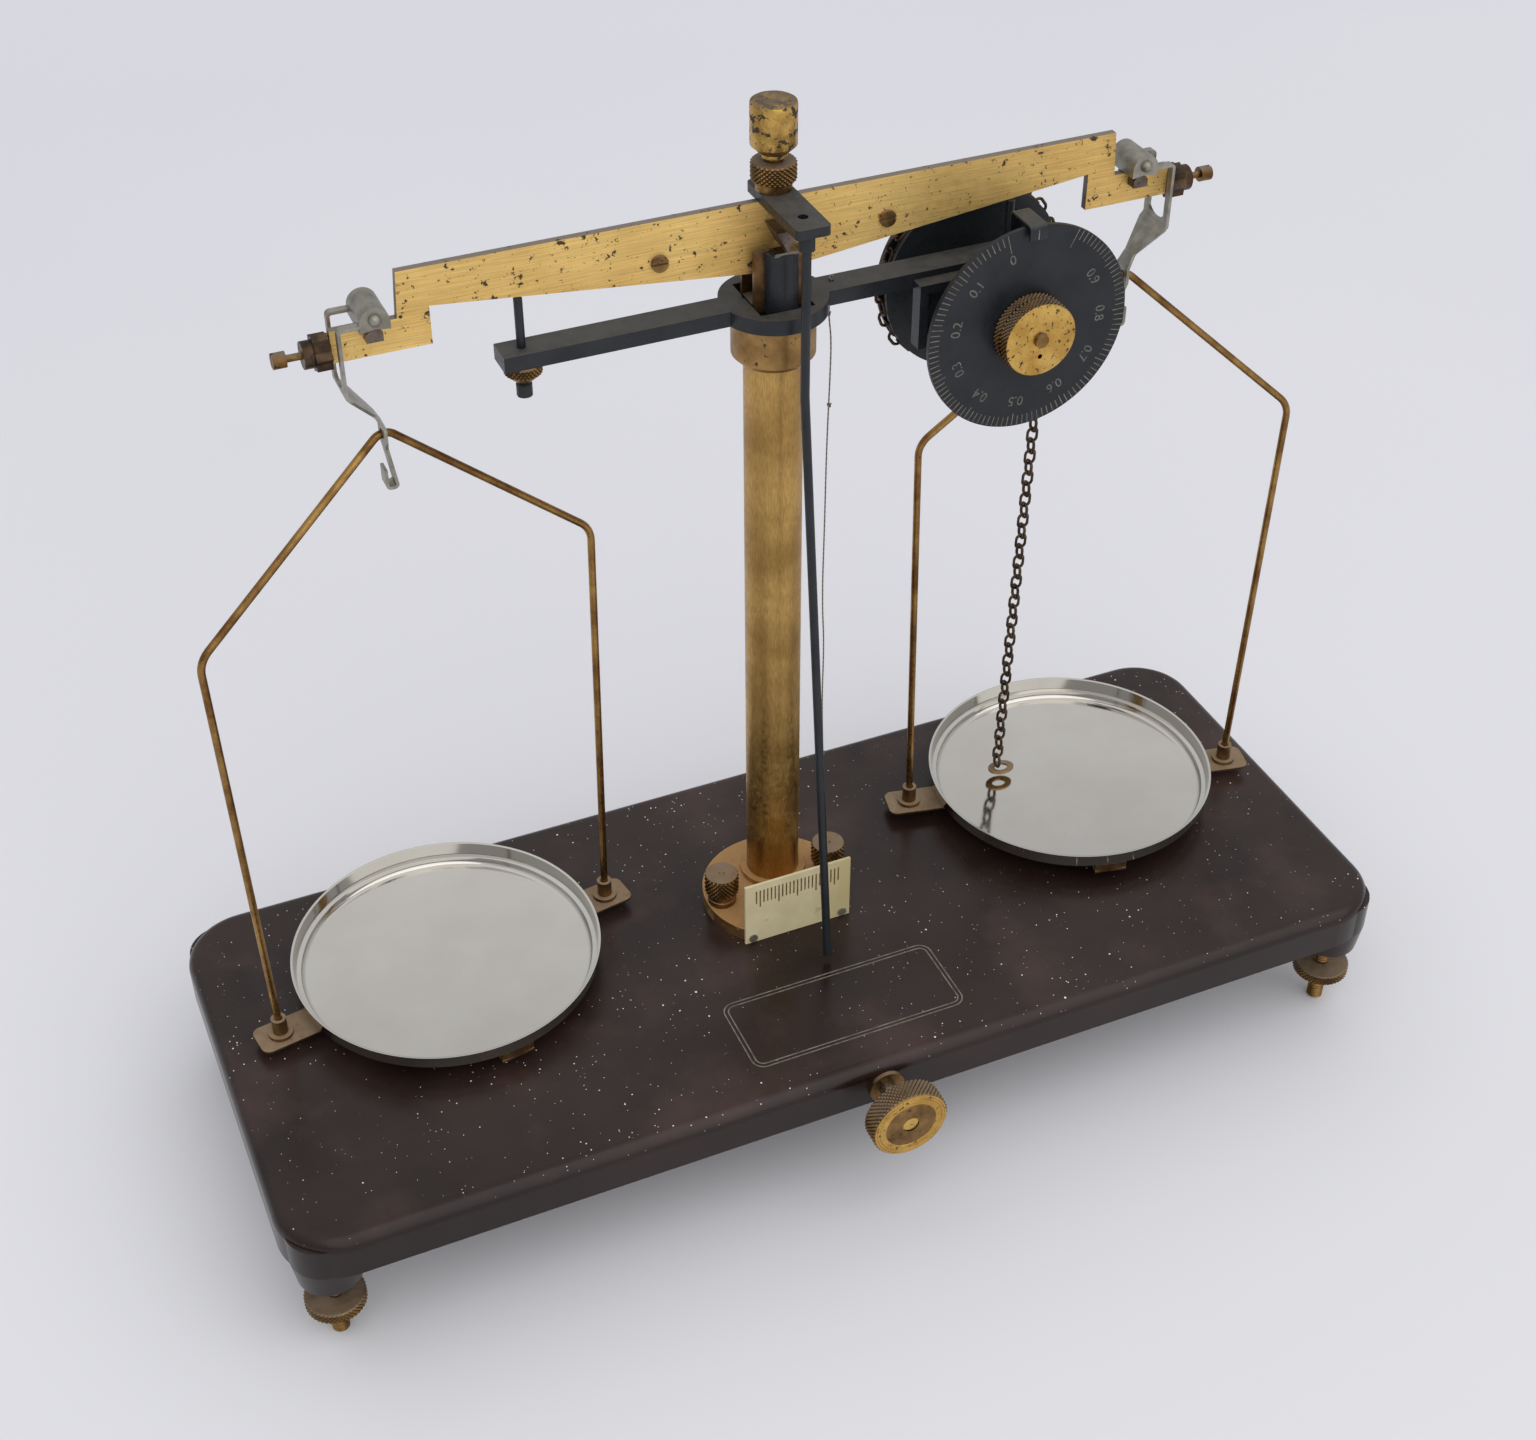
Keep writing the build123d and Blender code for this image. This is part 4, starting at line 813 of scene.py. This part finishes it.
# Bows and pan supports: each bow is drawn copper-brown wire, bent to shape. Its ends stand in
# ferrules on a cross of brown brass strips, dusty on top.
bow_brass = patina(
    "drawn_brown_wire",
    "AE8850",
    "74522E",
    12,
    rough=0.33,
    brush=(1, 1, 0.2),
    spots=(("4A3320", 2, 0.33),),
)
dress(["bow_left", "bow_right"], bow_brass, 0, 45)
strip_brass = patina(
    "dusty_brown_strips",
    "94764E",
    "6C5238",
    6,
    rough=0.42,
    spots=(("42301E", 1.8, 0.36),),
    dust="8A765E",
)
dress(["pan_support_left", "pan_support_right"], strip_brass, 0.15)

# Pans: spun dishes with a step under the flared rim, plated in mirror nickel with a few brown
# spots. They lie loose on their supports.
pan_centres = {"left": (-122.45, 30), "right": (127.55, 30)}
pan_under_z = 61.8
pan_profile = [
    (0, 0),
    (49.3, 0),
    (50.26, 0.19),
    (51.07, 0.73),
    (51.61, 1.54),
    (51.8, 2.5),
    (51.8, 2.9),
    (53.3, 3.3),
    (54.0, 8.1),
    (54.1, 8.4),
    (53.7, 8.4),
    (53.3, 8.25),
    (52.5, 3.86),
    (51.0, 3.54),
    (51.0, 2.5),
    (50.87, 1.85),
    (50.5, 1.3),
    (49.95, 0.93),
    (49.3, 0.8),
    (0, 0.8),
]
mirror = patina(
    "mirror_nickel",
    "CECBC4",
    "C9C5BE",
    30,
    rough=0.1,
    spread=0.015,
    spots=(("6E5436", 2.6, 0.25), ("8A7C6A", 0.6, 0.29)),
    relief_depth=0.004,
)
for side, centre in pan_centres.items():
    pan = turned(f"spun_pan_{side}", pan_profile, 160)
    placed(pan, (*centre, pan_under_z), (0, 0, 1), 30)
    pan.data.materials.append(mirror)
    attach(pan, f"bow_{side}")
    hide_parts(f"pan_{side}")

# Dial bracket and index tab: black-lacquered brass, dusty on top. The bracket is a shallow tray
# under the arm. The tab is a strip bent over the dial's edge, with an index line in front.
dial_x = 76.35
tab_width = 6
tab_thickness = 0.9
tab_bend = 1.2
tab_edge = 0.15
tab_route = [(24.5, 295.7), (12, 295.7), (12, 319.2), (-0.3, 319.2), (-0.3, 314.8)]
dress(["dial_bracket"], black_lacquer, 0.35)
tab = drawn("bent_index_tab", [(dial_x - tab_width / 2, y, z) for y, z in tab_route])
bpy.ops.mesh.extrude_region_move(TRANSFORM_OT_translate={"value": (tab_width * mm, 0, 0)})
bpy.ops.object.mode_set(mode="OBJECT")
for kind, amount in (("BEVEL", tab_bend), ("SOLIDIFY", tab_thickness), ("BEVEL", tab_edge)):
    step = tab.modifiers.new("form", kind)
    if kind == "BEVEL":
        step.width = amount * mm
        step.segments = 4 if amount == tab_bend else 2
        step.limit_method = "ANGLE"
        step.angle_limit = radians(50)
    else:
        step.thickness = amount * mm
        step.offset = 0
    bpy.ops.object.modifier_apply(modifier=step.name)
bpy.ops.object.mode_set(mode="EDIT")
bpy.ops.mesh.select_all(action="SELECT")
bpy.ops.mesh.normals_make_consistent(inside=False)
bpy.ops.object.mode_set(mode="OBJECT")
bpy.ops.object.shade_smooth_by_angle(angle=radians(35))
tab.data.materials.append(black_lacquer)
index_line = bar_mark("tab_index_line", 0.35, 3.2)
placed(index_line, (dial_x, -0.3 - tab_thickness / 2 - 0.01, 318.2), smooth=0)
index_line.data.materials.append(cream_lines)
for piece in (tab, index_line):
    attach(piece, "root")
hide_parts("index_tab")

# Dial: a black-lacquered disc, engraved and filled with cream. It has 100 divisions over 317
# degrees, the numbers 0 to 0.9 with their tops outward, and longer lines at 0 and 1.
dial_z = 284
dial_front_y = 1.5
dial_edge = 34.3
zero_angle = -16
full_angle = -333
number_radius = 25.4
number_size = 4.6
divisions = 100
line_width = 0.28
line_length = 3.3
tenth_line_length = 4.2
end_line_length = 6.4
dial_black = patina("black_dial_lacquer", "17191D", "202226", 12, metal=0.0, rough=0.38)
dress(["dial_disc"], dial_black, 0.2)


def on_dial(piece, angle, radius):
    """Turns a piece made in the XZ plane to its place on the dial, clockwise from the top."""
    pick(piece)
    turn = Matrix.Rotation(radians(angle), 4, "Y")
    centre = Matrix.Translation((dial_x * mm, (dial_front_y - 0.01) * mm, dial_z * mm))
    outward = Matrix.Translation((0, 0, radius * mm))
    piece.matrix_world = centre @ turn @ outward @ piece.matrix_world
    bpy.ops.object.transform_apply(location=True, rotation=True, scale=True)
    return piece


cream_numbers = line_colour("dim_cream_numbers", "6E6D63", "4C4B44", 2)
engraving = []
for k in range(divisions + 1):
    length = line_length if k % 10 else tenth_line_length
    if k in (0, divisions):
        length = end_line_length
    angle = zero_angle + (full_angle - zero_angle) * k / divisions
    mark = bar_mark("mark", line_width, length)
    mark.data.materials.append(cream_lines)
    engraving.append(on_dial(mark, angle, dial_edge))
for k in range(10):
    bpy.ops.object.select_all(action="DESELECT")
    bpy.ops.object.text_add(rotation=(radians(90), 0, 0))
    number = bpy.context.object
    number.data.body = f"0.{k}" if k else "0"
    number.data.size = number_size * mm
    number.data.align_x = "CENTER"
    number.data.align_y = "CENTER"
    number = as_mesh(number)
    angle = zero_angle + (full_angle - zero_angle) * k / 10
    number.data.materials.append(cream_numbers)
    engraving.append(on_dial(number, angle, number_radius))
dial_marks = joined("dial_engraving", engraving)
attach(dial_marks, "dial")

# Dial knob: turned brass with a diamond-knurled brown rim and a bright spotted face, which has a
# small set-screw hole below its middle.
face_back = 8.1
hole_radius = 0.8
hole_depth = 4
hole_drop = 5.6
dress(["dial_spindle"], aged_brass)
knob = turned(
    "dial_knob_rim",
    [(2.2, 0), (11.5, 0), *rows(12.35, 0.6, 7.8, 10), (12.0, 8.4), (9, 8.3), (9, 4), (2.2, 4)],
    104,
    (0.6, 7.8, 0.5),
)
placed(knob, (dial_x, dial_front_y, dial_z), front, 0)
face = turned(
    "dial_knob_face",
    [(0, face_back), (0, 8.5), (0.8, 8.47), (1.3, 8.4), (1.5, 8.2), (2.0, 8.2), (2.2, 8.45)]
    + [(2.5, 8.5), (11.7, 8.5), (12.05, 8.35), (11.6, face_back), (0, face_back)],
    96,
)
placed(face, (dial_x, dial_front_y, dial_z), front)
bpy.ops.object.select_all(action="DESELECT")
bpy.ops.mesh.primitive_cylinder_add(
    vertices=20,
    radius=hole_radius * mm,
    depth=hole_depth * mm,
    location=(dial_x * mm, (dial_front_y - face_back) * mm, (dial_z - hole_drop) * mm),
    rotation=(radians(90), 0, 0),
)
drill = bpy.context.object
hole = face.modifiers.new("hole", "BOOLEAN")
hole.object = drill
hole.operation = "DIFFERENCE"
bpy.context.view_layer.objects.active = face
bpy.ops.object.modifier_apply(modifier="hole")
bpy.data.objects.remove(drill)
knob.data.materials.append(aged_brass)
face.data.materials.append(bright_brass)
for piece in (knob, face):
    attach(piece, "dial")
    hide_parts("dial_knob")

# Drum and chain: a grooved, black-lacquered drum behind the arm, and a fine dark chain of links of
# round wire, every second one turned a quarter. It lies over the drum and hangs down to the right
# pan, where an oval brass clasp ends it.
chain_y = 42
chain_radius = 31
link_pitch = 4.4
link_wire = 0.55
link_end_radius = 1.9
link_stretch = 0.85
wrapped_links = 28
hanging_links = 49
chain_lean = 5
clasp_place = (104.4, chain_y, 66)
clasp_stretch = 1.4
dark_chain = patina("dark_chain_brass", "5A4634", "382C24", 6, rough=0.42, metal=0.8)
dress(["chain_drum"], black_lacquer, 0.2)
bpy.ops.object.select_all(action="DESELECT")
bpy.ops.mesh.primitive_torus_add(
    major_segments=14,
    minor_segments=6,
    major_radius=link_end_radius * mm,
    minor_radius=link_wire * mm,
)
link = bpy.context.object
for side in (-1, 1):
    bpy.ops.object.mode_set(mode="EDIT")
    bpy.ops.mesh.select_all(action="DESELECT")
    bpy.ops.object.mode_set(mode="OBJECT")
    for vertex in link.data.vertices:
        vertex.select = vertex.co.x * side > 0.05 * mm
    bpy.ops.object.mode_set(mode="EDIT")
    bpy.ops.transform.translate(value=(side * link_stretch * mm, 0, 0))
    bpy.ops.object.mode_set(mode="OBJECT")
link_angle = 2 * asin(link_pitch / 2 / chain_radius)
places = []
for k in range(wrapped_links):
    turn = (k + 0.5) * link_angle
    outward = Vector((cos(turn), 0, sin(turn)))
    centre = Vector((dial_x, chain_y, dial_z)) + chain_radius * outward
    normal = outward if k % 2 else Vector((0, 1, 0))
    places.append((centre, Vector((-sin(turn), 0, cos(turn))), normal))
lean = asin(chain_lean / (hanging_links * link_pitch))
down = Vector((-sin(lean), 0, -cos(lean)))
for k in range(hanging_links):
    centre = Vector((dial_x + chain_radius, chain_y, dial_z)) + (k + 0.5) * link_pitch * down
    normal = Vector((0, 1, 0)) if k % 2 else Vector((cos(lean), 0, -sin(lean)))
    places.append((centre, down, normal))
links = []
for centre, along, normal in places:
    copy = bpy.data.objects.new("link", link.data.copy())
    scene.collection.objects.link(copy)
    sideways = normal.cross(along)
    copy.matrix_world = Matrix(
        (
            (along.x, sideways.x, normal.x, centre.x * mm),
            (along.y, sideways.y, normal.y, centre.y * mm),
            (along.z, sideways.z, normal.z, centre.z * mm),
            (0, 0, 0, 1),
        )
    )
    links.append(copy)
bpy.data.objects.remove(link)
bpy.context.view_layer.update()
chain = joined("round_link_chain", links)
bpy.ops.object.transform_apply(location=True, rotation=True, scale=True)
bpy.ops.object.shade_smooth()
chain.data.materials.append(dark_chain)
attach(chain, "root")
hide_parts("chain")
clasp = turned(
    "oval_chain_clasp",
    [(1.9, 0.1), (2.1, 0), (3.5, 0), (3.7, 0.2), (3.7, 0.8), (3.5, 1), (2.1, 1), (1.9, 0.9)]
    + [(1.9, 0.1)],
    48,
)
clasp.scale = (clasp_stretch, 1, 1)
bpy.ops.object.transform_apply(scale=True)
placed(clasp, clasp_place)
clasp.data.materials.append(aged_brass)
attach(clasp, "root")
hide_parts("chain_clasp")
